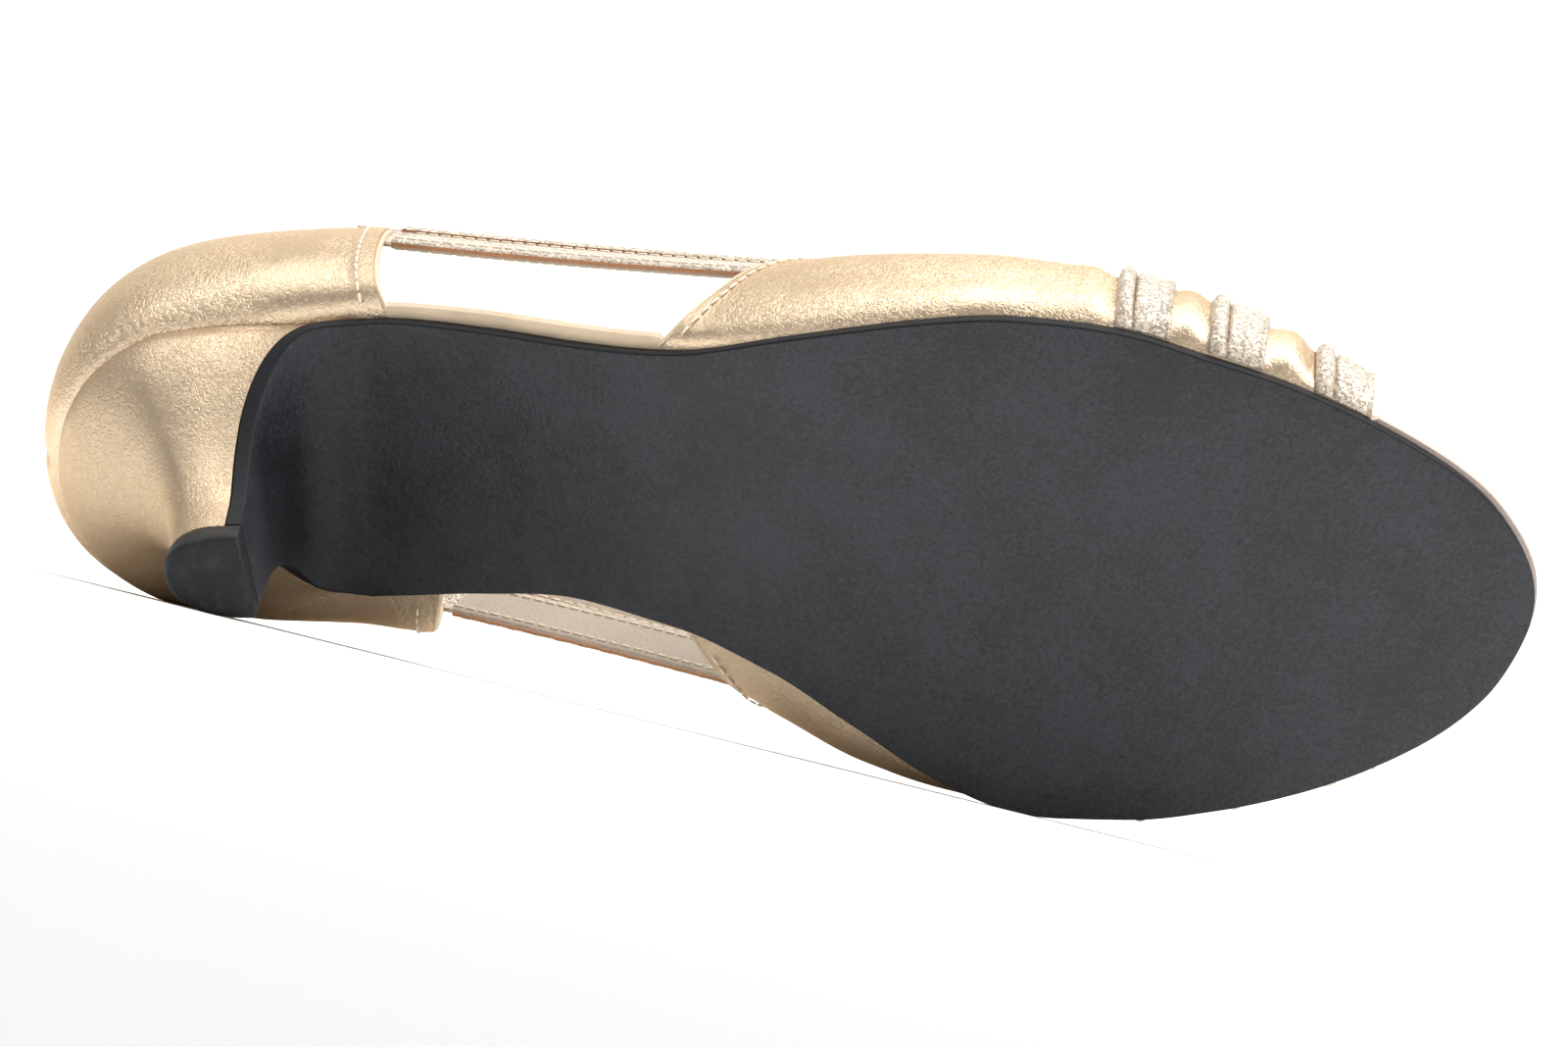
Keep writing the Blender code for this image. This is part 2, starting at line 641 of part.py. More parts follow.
def quarter_front(side, height):
    """Point in the quarter's wall near its front edge, at a height."""
    front = QUARTER_FRONT_LAT if side < 0 else QUARTER_FRONT_MED
    collar = BACK_HEIGHT * read(QUARTER, QUARTER_COLUMNS, "height", front)
    above = (height - WIDEST_HEIGHT) / (collar - WIDEST_HEIGHT)
    outer = quarter_point(side * STRAP_END, QUARTER_SPLIT + (1 - QUARTER_SPLIT) * above)
    return outer - Vector((0, side * UPPER_WALL * STRAP_SEAT, 0))


def vamp_side(side, height, share):
    """Point in the vamp's wall at a height above the insole."""
    low = 0.0
    high = 0.5
    for _ in range(30):
        middle = (low + high) / 2
        across = middle if side < 0 else 1 - middle
        if arch_point(share, across).z - bottom_z(share) < height:
            low = middle
        else:
            high = middle
    outer = arch_point(share, low if side < 0 else 1 - low)
    return outer - Vector((0, side * UPPER_WALL * STRAP_REST, 0))


def build_strap(name, row, mat):
    strap = dict(zip(STRAP_COLUMNS, row))
    side = strap["side"]
    start = quarter_front(side, strap["quarter_height"] * WIDEST_HEIGHT)
    finish = vamp_side(side, strap["vamp_height"] * WIDEST_HEIGHT, strap["vamp_x"])
    run = (finish - start).normalized()
    start = start - run * STRAP_LAP
    tilt = math.radians(strap["lean"])
    upright = Vector((0, -side * math.sin(tilt), math.cos(tilt)))
    upright = (upright - run * upright.dot(run)).normalized()
    out = run.cross(upright).normalized() * -side
    out = out if out.y * side > 0 else -out
    loops = []
    for t in spaced(13):
        sag = STRAP_SAG * 4 * t * (1 - t)
        centre = start.lerp(finish, t) - Vector((0, side * sag, 0))
        up = upright * STRAP_WIDTH / 2
        thick = out * STRAP_THICKNESS / 2
        loops.append([centre - up - thick, centre - up + thick,
                      centre + up + thick, centre + up - thick])
    return loft(name, loops, mat)


def union(base, others):
    """Joins the others to the base as one solid."""
    for other in others:
        modifier = base.modifiers.new("join_" + other.name, "BOOLEAN")
        modifier.operation = "UNION"
        modifier.solver = "EXACT"
        modifier.object = other
        other.hide_render = True
        other.display_type = "WIRE"
    return base


def build_upper(mat):
    low = [LOWER_SHARE * part for part in WALL_STEPS]
    over = spaced(25, LOWER_SHARE, 1 - LOWER_SHARE)[1:-1]
    across = low + over + [1 - place for place in reversed(low)]
    vamp = loft("upper", wall_loops(lambda u, along: vamp_point(along, u),
                                    across, spaced(13)), mat)
    ups = [QUARTER_SPLIT * part for part in WALL_STEPS]
    ups += spaced(5, QUARTER_SPLIT, 1.0)[1:]
    quarter = loft("quarter_form", wall_loops(quarter_point, spaced(37, -1, 1), ups), mat)
    straps = [build_strap("strap_form_%d" % (i + 1), row, mat)
              for i, row in enumerate(STRAPS)]
    return union(vamp, [quarter] + straps)


def build_bands(mat):
    bands = []
    for number, row in enumerate(BANDS):
        band = dict(zip(BAND_COLUMNS, row))
        loops = []
        for across in spaced(31, BAND_END, 1 - BAND_END):
            start = band["lateral"] + (band["medial"] - band["lateral"]) * across
            ease = step(min(across, 1 - across), BAND_END, BAND_EASE)
            profile = band_profile(BAND_LOW + (1 - BAND_LOW) * ease)
            loops.append([offset_point(start + along / LAST_LENGTH, across, lift)
                          for along, lift in profile])
        bands.append(loft("toe_band_%d" % (number + 1), loops, mat))
    return bands


def band_profile(height):
    """Section of a band: place along the foot and lift off the leather, a closed loop."""
    top = [(along * CORD_WIDTH, lift * CORD_HEIGHT) for along, lift in CORD_SECTION]
    top += [(along * BAND_WIDTH, lift * BAND_HEIGHT) for along, lift in BAND_SECTION]
    outer = [(along, GAP + (lift - GAP) * height) for along, lift in top]
    inner = [(along, GAP) for along, lift in top]
    return outer + inner[::-1]


def offset_point(share, across, lift):
    """Point off the last's surface."""
    reach = 0.004
    ahead = arch_point(share + reach, across) - arch_point(share - reach, across)
    low = max(across - reach, 0.0)
    high = min(across + reach, 1.0)
    over = arch_point(share, high) - arch_point(share, low)
    normal = ahead.cross(over).normalized()
    return arch_point(share, across) + normal * lift


def solid_points_and_centre(objects):
    """All corners of the solids and their common centre of mass."""
    points = []
    weighted = Vector((0, 0, 0))
    volume = 0.0
    graph = bpy.context.evaluated_depsgraph_get()
    for obj in objects:
        seen = obj.evaluated_get(graph)
        mesh = seen.to_mesh()
        mesh.calc_loop_triangles()
        corners = [v.co.copy() for v in mesh.vertices]
        points += corners
        for tri in mesh.loop_triangles:
            a, b, c = (corners[k] for k in tri.vertices)
            part = a.dot(b.cross(c)) / 6
            weighted += (a + b + c) / 4 * part
            volume += part
        seen.to_mesh_clear()
    return points, weighted / volume


def resting_turn(points, centre):
    """Turn that lays the shoe on the facet of its hull, on the medial side, that its centre
    of mass comes down on."""
    work = bmesh.new()
    for point in points:
        work.verts.new(point)
    bmesh.ops.convex_hull(work, input=work.verts[:])
    work.normal_update()
    best = None
    for face in work.faces:
        normal = face.normal
        if normal.dot(face.calc_center_median() - centre) < 0:
            normal = -normal
        if normal.y < 0.7:
            continue
        height = normal.dot(face.calc_center_median() - centre)
        if best is None or height < best[0]:
            best = (height, normal.copy())
    work.free()
    down = best[1].rotation_difference(Vector((0, 0, -1))).to_matrix()
    toe = down @ Vector((1, 0, 0))
    heading = Matrix.Rotation(-math.atan2(toe.y, toe.x), 3, "Z")
    return heading @ down


def lay_on_side(objects):
    """Parents the pieces to an empty that lays the shoe on its medial side."""
    points, centre = solid_points_and_centre(objects)
    turn = resting_turn(points, centre)
    turned = np.array([turn @ p for p in points])
    low = turned.min(axis=0)
    high = turned.max(axis=0)
    middle = (low + high) / 2
    place = bpy.data.objects.new("shoe", None)
    bpy.context.scene.collection.objects.link(place)
    shift = Vector((-middle[0], -middle[1], -low[2]))
    place.matrix_world = Matrix.Translation(shift) @ turn.to_4x4()
    for obj in bpy.data.objects:
        if obj.type == "MESH":
            obj.parent = place
    bpy.context.view_layer.update()
    return place


def main():
    for obj in list(bpy.data.objects):
        bpy.data.objects.remove(obj, do_unlink=True)
    gold = material("gold_leather", GOLD, 0.38, 0.35)
    black = material("black_sole", BLACK, 0.55)
    rubber = material("black_rubber", RUBBER, 0.7)
    glitter = material("glitter_fabric", GLITTER, 0.5, 0.4)
    lining = material("insole_cover", LINING, 0.6)
    solids = [
        build_outsole(black),
        build_top_lift(rubber),
        build_heel(gold),
        build_insole(lining),
        build_upper(gold),
    ]
    solids += build_bands(glitter)
    bpy.context.view_layer.update()
    lay_on_side(solids)


main()
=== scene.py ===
import json
import math

import bmesh
import bpy
import numpy as np
from mathutils import Matrix, Vector


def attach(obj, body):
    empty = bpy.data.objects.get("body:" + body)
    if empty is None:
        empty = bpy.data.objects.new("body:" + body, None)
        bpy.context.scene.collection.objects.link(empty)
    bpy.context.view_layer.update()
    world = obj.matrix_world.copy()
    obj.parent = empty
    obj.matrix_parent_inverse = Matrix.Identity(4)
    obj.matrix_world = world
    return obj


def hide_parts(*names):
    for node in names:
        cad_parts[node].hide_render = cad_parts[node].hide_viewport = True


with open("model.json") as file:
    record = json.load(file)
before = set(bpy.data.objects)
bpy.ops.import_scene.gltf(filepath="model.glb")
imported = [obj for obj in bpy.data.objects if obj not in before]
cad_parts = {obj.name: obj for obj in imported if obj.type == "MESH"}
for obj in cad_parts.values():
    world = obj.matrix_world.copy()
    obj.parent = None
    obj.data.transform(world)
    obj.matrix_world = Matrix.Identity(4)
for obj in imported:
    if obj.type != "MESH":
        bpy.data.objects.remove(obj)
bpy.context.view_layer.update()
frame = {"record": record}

bl_info = {
    "name": "Open-toe dress sandal",
    "version": (1, 0, 0),
    "blender": (4, 5, 0),
    "location": "View3D > Sidebar > Sandal",
    "description": "Leather, glitter bands, straps, sole and heel of a right-foot dress sandal",
    "category": "Add Mesh",
}

# Sizes of the last, in metres, as the solids have them
LAST_LENGTH = 0.2473
BALL_WIDTH = 0.0865
SEAT_RISE = 0.0466
TOE_SPRING = 0.0050
INSTEP_HEIGHT = 0.062
BACK_HEIGHT = 0.052
BACK_BULGE = 0.0038
WIDEST_HEIGHT = 0.017
COLLAR_LEAN = 0.0085
UPPER_WALL = 0.0016
TUCK = 0.0022
SOLE_THICKNESS = 0.0025
SOLE_MARGIN = 0.0023
INSOLE_THICKNESS = 0.0030
TOP_LIFT_HEIGHT = 0.0055
TOP_LIFT_LENGTH = 0.0134
TOP_LIFT_WIDTH = 0.0145
TOP_LIFT_BACK = 0.0253
TOP_LIFT_SIDE = 0.0027
TOP_LIFT_TURN = math.radians(8.6)
BREAST_CORNER_DROP = 0.0002
BAND_WIDTH = 0.0087
BAND_HEIGHT = 0.0016
CORD_WIDTH = 0.0027
CORD_HEIGHT = 0.0021
STRAP_WIDTH = 0.0090
STRAP_THICKNESS = 0.0018
STRAP_SAG = 0.0005
STRAP_LAP = 0.0036
STRAP_SEAT = 0.6
STRAP_REST = 0.8
STRAP_END = 0.99
LIFT_POWER = 0.85
SEAT_SETBACK = 0.0010
BREAST_GAP = 0.0004
GAP = 0.0003
FOREFOOT_FLAT = Vector((0.168, 0.002, 0.0))
TOP_LIFT_FLAT = Vector((0.032, 0.0027, 0.0))

# Sizes that only the looks have
SOCK_SETBACK = 0.0023
SOLE_BEVEL = 0.0005
LIP_ROUND = 0.0005
COLLAR_ROUND = 0.0006
VAMP_FOLD = (0.0028, 0.0020)
COLLAR_FOLD = (0.0034, 0.0026)
SEAM_DEPTH = 0.0008
SEAM_SHARE = 0.8 / 45
DIP_WIDTH = 0.0016
DIP_DEPTH = 0.0004
PUFF_PLACE = 0.0042
PUFF_WIDTH = 0.0026
PUFF_HEIGHT = 0.0006
VAMP_PIPING = 0.00042
QUARTER_PIPING = 0.00055
SIDES = ((-1, "lateral"), (1, "medial"))

# Shares of the last, row by row, as the solids have them
OUTLINE_COLUMNS = ("x", "feather_lat", "feather_med", "widest_lat", "widest_med")
OUTLINE = (
    (0.000, 0.022, 0.022, 0.022, 0.022),
    (0.010, -0.104, 0.148, -0.140, 0.170),
    (0.035, -0.197, 0.240, -0.246, 0.266),
    (0.078, -0.262, 0.300, -0.322, 0.342),
    (0.142, -0.288, 0.311, -0.366, 0.377),
    (0.200, -0.316, 0.268, -0.387, 0.385),
    (0.240, -0.336, 0.251, -0.395, 0.384),
    (0.303, -0.350, 0.214, -0.405, 0.350),
    (0.372, -0.362, 0.181, -0.415, 0.315),
    (0.437, -0.384, 0.191, -0.430, 0.322),
    (0.500, -0.423, 0.246, -0.470, 0.405),
    (0.555, -0.456, 0.342, -0.503, 0.474),
    (0.607, -0.477, 0.443, -0.521, 0.508),
    (0.647, -0.483, 0.498, -0.525, 0.525),
    (0.684, -0.476, 0.520, -0.517, 0.538),
    (0.736, -0.453, 0.523, -0.487, 0.537),
    (0.787, -0.405, 0.507, -0.448, 0.518),
    (0.840, -0.350, 0.476, -0.383, 0.484),
    (0.917, -0.231, 0.395, -0.245, 0.400),
    (0.968, -0.113, 0.291, -0.120, 0.295),
    (0.988, -0.030, 0.208, -0.032, 0.210),
    (1.000, 0.086, 0.086, 0.086, 0.086),
)
PROFILE_COLUMNS = ("x", "rise", "spring")
PROFILE = (
    (0.000, 1.000, 0.00),
    (0.077, 0.992, 0.00),
    (0.142, 0.970, 0.00),
    (0.198, 0.927, 0.00),
    (0.235, 0.866, 0.00),
    (0.303, 0.697, 0.00),
    (0.372, 0.483, 0.00),
    (0.437, 0.266, 0.00),
    (0.501, 0.105, 0.00),
    (0.555, 0.028, 0.00),
    (0.607, 0.000, 0.00),
    (0.750, 0.000, 0.00),
    (0.840, 0.000, 0.12),
    (0.920, 0.000, 0.46),
    (1.000, 0.000, 1.00),
)
ARCH_COLUMNS = ("x", "ridge", "side", "widest", "fullness")
ARCH = (
    (0.240, 1.300, -0.020, 1.00, 2.0),
    (0.425, 1.000, 0.010, 1.00, 2.0),
    (0.485, 0.935, 0.040, 1.00, 2.0),
    (0.546, 0.845, 0.065, 0.98, 2.1),
    (0.607, 0.735, 0.085, 0.90, 2.1),
    (0.667, 0.625, 0.095, 0.82, 2.2),
    (0.728, 0.535, 0.095, 0.74, 2.3),
    (0.809, 0.435, 0.095, 0.62, 2.3),
    (0.890, 0.350, 0.090, 0.48, 2.3),
    (1.000, 0.250, 0.086, 0.35, 2.3),
)
QUARTER_COLUMNS = ("x", "height", "lean", "back")
QUARTER = (
    (0.000, 1.000, 0.55, 1.00),
    (0.010, 0.998, 0.62, 0.84),
    (0.035, 0.985, 0.80, 0.62),
    (0.078, 0.950, 0.95, 0.38),
    (0.142, 0.880, 0.95, 0.12),
    (0.200, 0.800, 0.80, 0.00),
    (0.270, 0.740, 0.60, 0.00),
)
QUARTER_FRONT_LAT = 0.234
QUARTER_FRONT_MED = 0.266
QUARTER_RAKE = 0.0030
QUARTER_SPLIT = 0.42
BACK_ROUNDNESS = 1.8
VAMP_COLUMNS = ("across", "throat", "toe")
VAMP = (
    (0.00, 0.426, 0.893),
    (0.08, 0.446, 0.893),
    (0.16, 0.476, 0.893),
    (0.30, 0.540, 0.891),
    (0.50, 0.600, 0.889),
    (0.70, 0.548, 0.891),
    (0.84, 0.490, 0.893),
    (0.92, 0.462, 0.893),
    (1.00, 0.434, 0.893),
)
LOWER_SHARE = 0.16
LIP_FLATNESS = 1.25
HEEL_COLUMNS = ("down", "reach", "fall", "lateral", "medial", "drop", "back")
HEEL = (
    (0.00, 1.330, 0.000, 0.00, 0.00, 0.00, 0.00),
    (0.05, 1.030, -0.006, 0.01, 0.03, 0.02, 0.02),
    (0.10, 0.730, 0.014, 0.02, 0.08, 0.05, 0.05),
    (0.17, 0.480, 0.062, 0.06, 0.20, 0.11, 0.12),
    (0.25, 0.300, 0.140, 0.15, 0.42, 0.20, 0.25),
    (0.36, 0.150, 0.275, 0.34, 0.72, 0.33, 0.47),
    (0.50, 0.050, 0.440, 0.58, 0.90, 0.48, 0.69),
    (0.66, 0.010, 0.625, 0.80, 0.97, 0.65, 0.87),
    (0.82, 0.005, 0.800, 0.94, 0.99, 0.82, 0.96),
    (1.00, 0.000, 1.000, 1.00, 1.00, 1.00, 1.00),
)
SOLE_COLUMNS = ("x", "lateral", "medial")
SOLE_INSET = (
    (0.000, 0.10, 0.10),
    (0.120, 0.10, 0.10),
    (0.190, 0.75, 0.10),
    (0.240, 0.85, 0.10),
    (0.370, 1.00, 0.10),
    (0.440, 0.85, 0.10),
    (0.520, 0.30, 0.10),
    (0.640, 0.15, 0.12),
    (0.800, 0.20, 0.15),
    (0.900, 0.28, 0.25),
    (1.000, 0.32, 0.32),
)
BANDS = (
    (0.727, 0.735),
    (0.787, 0.797),
    (0.856, 0.858),
)
STRAPS = (
    (-1, 1.45, 1.45, 0.497, 12.0),
    (-1, 2.02, 2.10, 0.540, 32.0),
    (1, 1.45, 1.45, 0.506, 12.0),
    (1, 2.02, 2.10, 0.548, 32.0),
)


class Curve:
    """Smooth curve through rows that never overshoots them, for one number or an array."""

    def __init__(self, xs, ys):
        self.xs = np.array(xs, float)
        self.ys = np.array(ys, float)
        self.step = np.diff(self.xs)
        slope = np.diff(self.ys) / self.step
        tangent = np.zeros(len(self.xs))
        tangent[0] = slope[0]
        tangent[-1] = slope[-1]
        for i in range(1, len(self.xs) - 1):
            if slope[i - 1] * slope[i] > 0:
                before = 2 * self.step[i] + self.step[i - 1]
                after = self.step[i] + 2 * self.step[i - 1]
                tangent[i] = (before + after) / (before / slope[i - 1] + after / slope[i])
        self.tangent = tangent

    def __call__(self, x):
        x = np.clip(np.asarray(x, float), self.xs[0], self.xs[-1])
        i = np.clip(np.searchsorted(self.xs, x, side="right") - 1, 0, len(self.xs) - 2)
        step = self.step[i]
        t = (x - self.xs[i]) / step
        return (
            (1 + 2 * t) * (1 - t) ** 2 * self.ys[i]
            + t * (1 - t) ** 2 * step * self.tangent[i]
            + t * t * (3 - 2 * t) * self.ys[i + 1]
            + t * t * (t - 1) * step * self.tangent[i + 1]
        )


def turn_of(share):
    """Angle of a half circle over the last's length, which keeps both of its ends round."""
    return np.arccos(1 - 2 * np.clip(share, 0.0, 1.0))


def curves(table, columns, key=None):
    """Each named column of a table as a curve along its first column."""
    rows = np.array(table, float)
    xs = rows[:, 0] if key is None else key(rows[:, 0])
    return {name: Curve(xs, rows[:, i]) for i, name in enumerate(columns) if i}


outline = curves(OUTLINE, OUTLINE_COLUMNS, turn_of)
profile = curves(PROFILE, PROFILE_COLUMNS)
arch = curves(ARCH, ARCH_COLUMNS)
quarter = curves(QUARTER, QUARTER_COLUMNS)
vamp = curves(VAMP, VAMP_COLUMNS)
heel = curves(HEEL, HEEL_COLUMNS)
inset = curves(SOLE_INSET, SOLE_COLUMNS)


def outline_y(line, side, share):
    turn = turn_of(share)
    low = outline[line + "_lat"](turn)
    high = outline[line + "_med"](turn)
    return BALL_WIDTH * np.where(np.asarray(side) < 0, low, high)


def bottom_z(share):
    """Height of the insole's underside."""
    rise = SEAT_RISE * profile["rise"](share) + TOE_SPRING * profile["spring"](share)
    return SOLE_THICKNESS + GAP + rise


def stack(x, y, z):
    return np.stack(np.broadcast_arrays(x, y, z), axis=-1)


def unit(vectors):
    return vectors / np.maximum(np.linalg.norm(vectors, axis=-1, keepdims=True), 1e-12)


def feather_xy(turn):
    """Feather line by its angle: 0 at the back, to pi at the toe, medial positive."""
    share = (1 - np.cos(turn)) / 2
    side = np.where(np.asarray(turn) < 0, -1, 1)
    return np.stack([share * LAST_LENGTH, outline_y("feather", side, share)], axis=-1)


def edge_xy(side, share, inward):
    """Point a given distance inside the feather line."""
    reach = 0.01
    turn = np.asarray(side * turn_of(share))
    turn = np.clip(turn, -math.pi + reach, math.pi - reach)
    along = feather_xy(turn + reach) - feather_xy(turn - reach)
    normal = unit(np.stack([along[..., 1], -along[..., 0]], axis=-1))
    exact = np.asarray(side * turn_of(share))
    return feather_xy(exact) + normal * np.asarray(inward)[..., None]


def arch_points(share, across):
    """Outer surface of the last by sections: across runs from 0 lateral to 1 medial."""
    share, across = np.broadcast_arrays(np.asarray(share, float), np.asarray(across, float))
    side = np.where(across < 0.5, -1, 1)
    nearer = np.where(across < 0.5, across, 1 - across)
    widest_y = outline_y("widest", side, share)
    widest_z = WIDEST_HEIGHT * arch["widest"](share)
    base_y = outline_y("feather", side, share) - side * TUCK
    lift = np.clip(nearer / LOWER_SHARE, 0, 1) * math.pi / 2
    low_y = base_y + (widest_y - base_y) * np.sin(lift)
    low_z = widest_z * (1 - np.cos(lift)) ** LIP_FLATNESS
    turn = math.pi * np.clip((nearer - LOWER_SHARE) / (1 - 2 * LOWER_SHARE), 0, 0.5)
    power = 2 / arch["fullness"](share)
    ridge_y = BALL_WIDTH * arch["side"](share)
    ridge_z = INSTEP_HEIGHT * arch["ridge"](share)
    high_y = ridge_y + (widest_y - ridge_y) * np.abs(np.cos(turn)) ** power
    high_z = widest_z + (ridge_z - widest_z) * np.abs(np.sin(turn)) ** power
    under = nearer < LOWER_SHARE
    y = np.where(under, low_y, high_y)
    z = np.where(under, low_z, high_z)
    return stack(share * LAST_LENGTH, y, bottom_z(share) + z)


def vamp_points(along, across):
    throat = vamp["throat"](across)
    toe = vamp["toe"](across)
    return arch_points(throat + (toe - throat) * along, across)


def quarter_points(round_heel, up):
    """Outer quarter: round_heel is -1 at the lateral front edge, 1 at the medial one."""
    round_heel, up = np.broadcast_arrays(np.asarray(round_heel, float), np.asarray(up, float))
    side = np.where(round_heel < 0, -1, 1)
    front = np.where(side < 0, QUARTER_FRONT_LAT, QUARTER_FRONT_MED)
    turn = turn_of(front) * np.abs(round_heel)
    share = (1 - np.cos(turn)) / 2
    base = edge_xy(side, share, np.full(share.shape, TUCK))
    widest_x = share * LAST_LENGTH - BACK_BULGE * quarter["back"](share)
    widest_y = outline_y("widest", side, share)
    rake = QUARTER_RAKE * np.abs(round_heel) ** 6
    floor = bottom_z(base[..., 0] / LAST_LENGTH)
    lift = np.clip(up / QUARTER_SPLIT, 0, 1) * math.pi / 2
    out = np.sin(lift)
    low_x = base[..., 0] + (widest_x - rake - base[..., 0]) * out
    low_y = base[..., 1] + (widest_y - base[..., 1]) * out
    low_z = WIDEST_HEIGHT * (1 - np.cos(lift)) ** LIP_FLATNESS
    t = np.clip((up - QUARTER_SPLIT) / (1 - QUARTER_SPLIT), 0, 1)
    lean = COLLAR_LEAN * quarter["lean"](share) * t * t
    facing = np.minimum(turn * BACK_ROUNDNESS, math.pi / 2)
    high_x = widest_x - rake + lean * np.cos(facing)
    high_y = widest_y - side * lean * np.sin(facing)
    height = BACK_HEIGHT * quarter["height"](share)
    high_z = WIDEST_HEIGHT + (height - WIDEST_HEIGHT) * t
    low = up < QUARTER_SPLIT
    return stack(np.where(low, low_x, high_x), np.where(low, low_y, high_y),
                 floor + np.where(low, low_z, high_z))


def top_lift_front():
    return TOP_LIFT_BACK + TOP_LIFT_LENGTH


def twist(points, down):
    """Turns the heel's sections from the seat to the top lift."""
    narrow = (heel["lateral"](down) + heel["medial"](down)) / 2
    shift = (points[..., 1] - TOP_LIFT_SIDE) * math.tan(TOP_LIFT_TURN) * narrow
    return stack(points[..., 0] + shift, points[..., 1], points[..., 2])


def breast_place(down):
    """Sole's upper face from the bend under the seat down to the top lift."""
    foot_x = top_lift_front() - SOLE_THICKNESS
    corner = foot_x + TOP_LIFT_LENGTH * heel["reach"](0.0)
    top = bottom_z(corner / LAST_LENGTH) - GAP - BREAST_CORNER_DROP
    foot = TOP_LIFT_HEIGHT + GAP
    x = foot_x + TOP_LIFT_LENGTH * heel["reach"](down)
    return stack(x, 0.0, top + (foot - top) * heel["fall"](down))


def sole_inset(side, share):
    name = "lateral" if side < 0 else "medial"
    return SOLE_MARGIN * inset[name](share)


def step(value, low, high):
    t = np.clip((value - low) / (high - low), 0.0, 1.0)
    return t * t * (3 - 2 * t)


def spaced(count, low=0.0, high=1.0):
    return np.linspace(low, high, count)


def round_spaced(count, low, high):
    """Shares of the length, close together at the round ends."""
    return (1 - np.cos(np.linspace(turn_of(low), turn_of(high), count))) / 2


def shoe_frame():
    """Matrix from the shoe's standing frame to the frame that it lies in."""
    mounts = {mount["name"]: mount for mount in frame["record"]["mounts"]}
    fore = Vector(mounts["forefoot_flat"]["pos_m"])
    back = Vector(mounts["top_lift_flat"]["pos_m"])
    up = -Vector(mounts["forefoot_flat"]["axis"]).normalized()
    ahead = (fore - back).normalized()
    side = up.cross(ahead).normalized()
    known = (FOREFOOT_FLAT - TOP_LIFT_FLAT).normalized()
    x_axis = (ahead * known.x - side * known.y).normalized()
    y_axis = up.cross(x_axis).normalized()
    turn = Matrix((x_axis, y_axis, up)).transposed()
    return Matrix.Translation(fore - turn @ FOREFOOT_FLAT) @ turn.to_4x4()


SHOE = shoe_frame()


def placed(points):
    """Points of the standing shoe, in the frame that it lies in."""
    turn = np.array(SHOE.to_3x3())
    return points @ turn.T + np.array(SHOE.translation)


def grid_normals(points, flip=False):
    """Outward normals of a grid of points."""
    around = np.gradient(points, axis=0)
    along = np.gradient(points, axis=1)
    normals = unit(np.cross(along, around))
    return -normals if flip else normals


def make_object(name, points, faces, materials, indices=None, smooth=60.0):
    mesh = bpy.data.meshes.new(name)
    mesh.from_pydata(placed(points).tolist(), [], faces)
    for item in materials:
        mesh.materials.append(item)
    if indices is not None:
        mesh.polygons.foreach_set("material_index", indices)
    mesh.update()
    obj = bpy.data.objects.new(name, mesh)
    bpy.context.scene.collection.objects.link(obj)
    work = bmesh.new()
    work.from_mesh(mesh)
    bmesh.ops.recalc_face_normals(work, faces=work.faces[:])
    work.to_mesh(mesh)
    work.free()
    mesh.shade_smooth()
    mesh.set_sharp_from_angle(angle=math.radians(smooth))
    return obj


def loft(name, loops, materials, side_of=None, caps="pairs", smooth=60.0, ring=False):
    """Closed skin through closed loops, given as an array of loops by points by 3. side_of
    gives the material of the strip after each point of a loop."""
    rows, count = loops.shape[:2]
    faces = []
    indices = []
    for i in range(rows if ring else rows - 1):
        n = (i + 1) % rows
        for k in range(count):
            m = (k + 1) % count
            faces.append((i * count + k, i * count + m, n * count + m, n * count + k))
            indices.append(side_of(k) if side_of else 0)
    points = loops.reshape(-1, 3)
    if not ring and caps == "pairs":
        for first in (0, (rows - 1) * count):
            for k in range((count - 1) // 2):
                corners = (first + k, first + k + 1, first + count - 2 - k, first + count - 1 - k)
                if k + 1 == count - 2 - k:
                    corners = corners[:2] + corners[3:]
                faces.append(corners)
                indices.append(side_of(0) if side_of else 0)
    if not ring and caps == "fan":
        for row in (0, rows - 1):
            centre = len(points)
            points = np.vstack([points, loops[row].mean(axis=0)])
            for k in range(count):
                faces.append((row * count + k, row * count + (k + 1) % count, centre))
                indices.append(side_of(k) if side_of else 0)
    return make_object(name, points, faces, materials, indices, smooth)


def ridden(obj, slot, *nodes):
    """Rides the one body and stands for its nodes; its slot is not used."""
    if not obj.data.polygons:
        raise RuntimeError(obj.name + " has no faces")
    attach(obj, "root")
    if nodes:
        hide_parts(*nodes)
    return obj


class Wire:
    """A value in a material's node tree, with Python's arithmetic on it."""

    def __init__(self, finish, value):
        self.finish = finish
        self.value = value

    def maths(self, operation, first, second=None):
        node = self.finish.node("ShaderNodeMath", {"operation": operation}, first, second)
        return Wire(self.finish, node.outputs[0])

    def __add__(self, other):
        return self.maths("ADD", self, other)

    def __mul__(self, other):
        return self.maths("MULTIPLY", self, other)

    def above(self, other):
        return self.maths("GREATER_THAN", self, other)


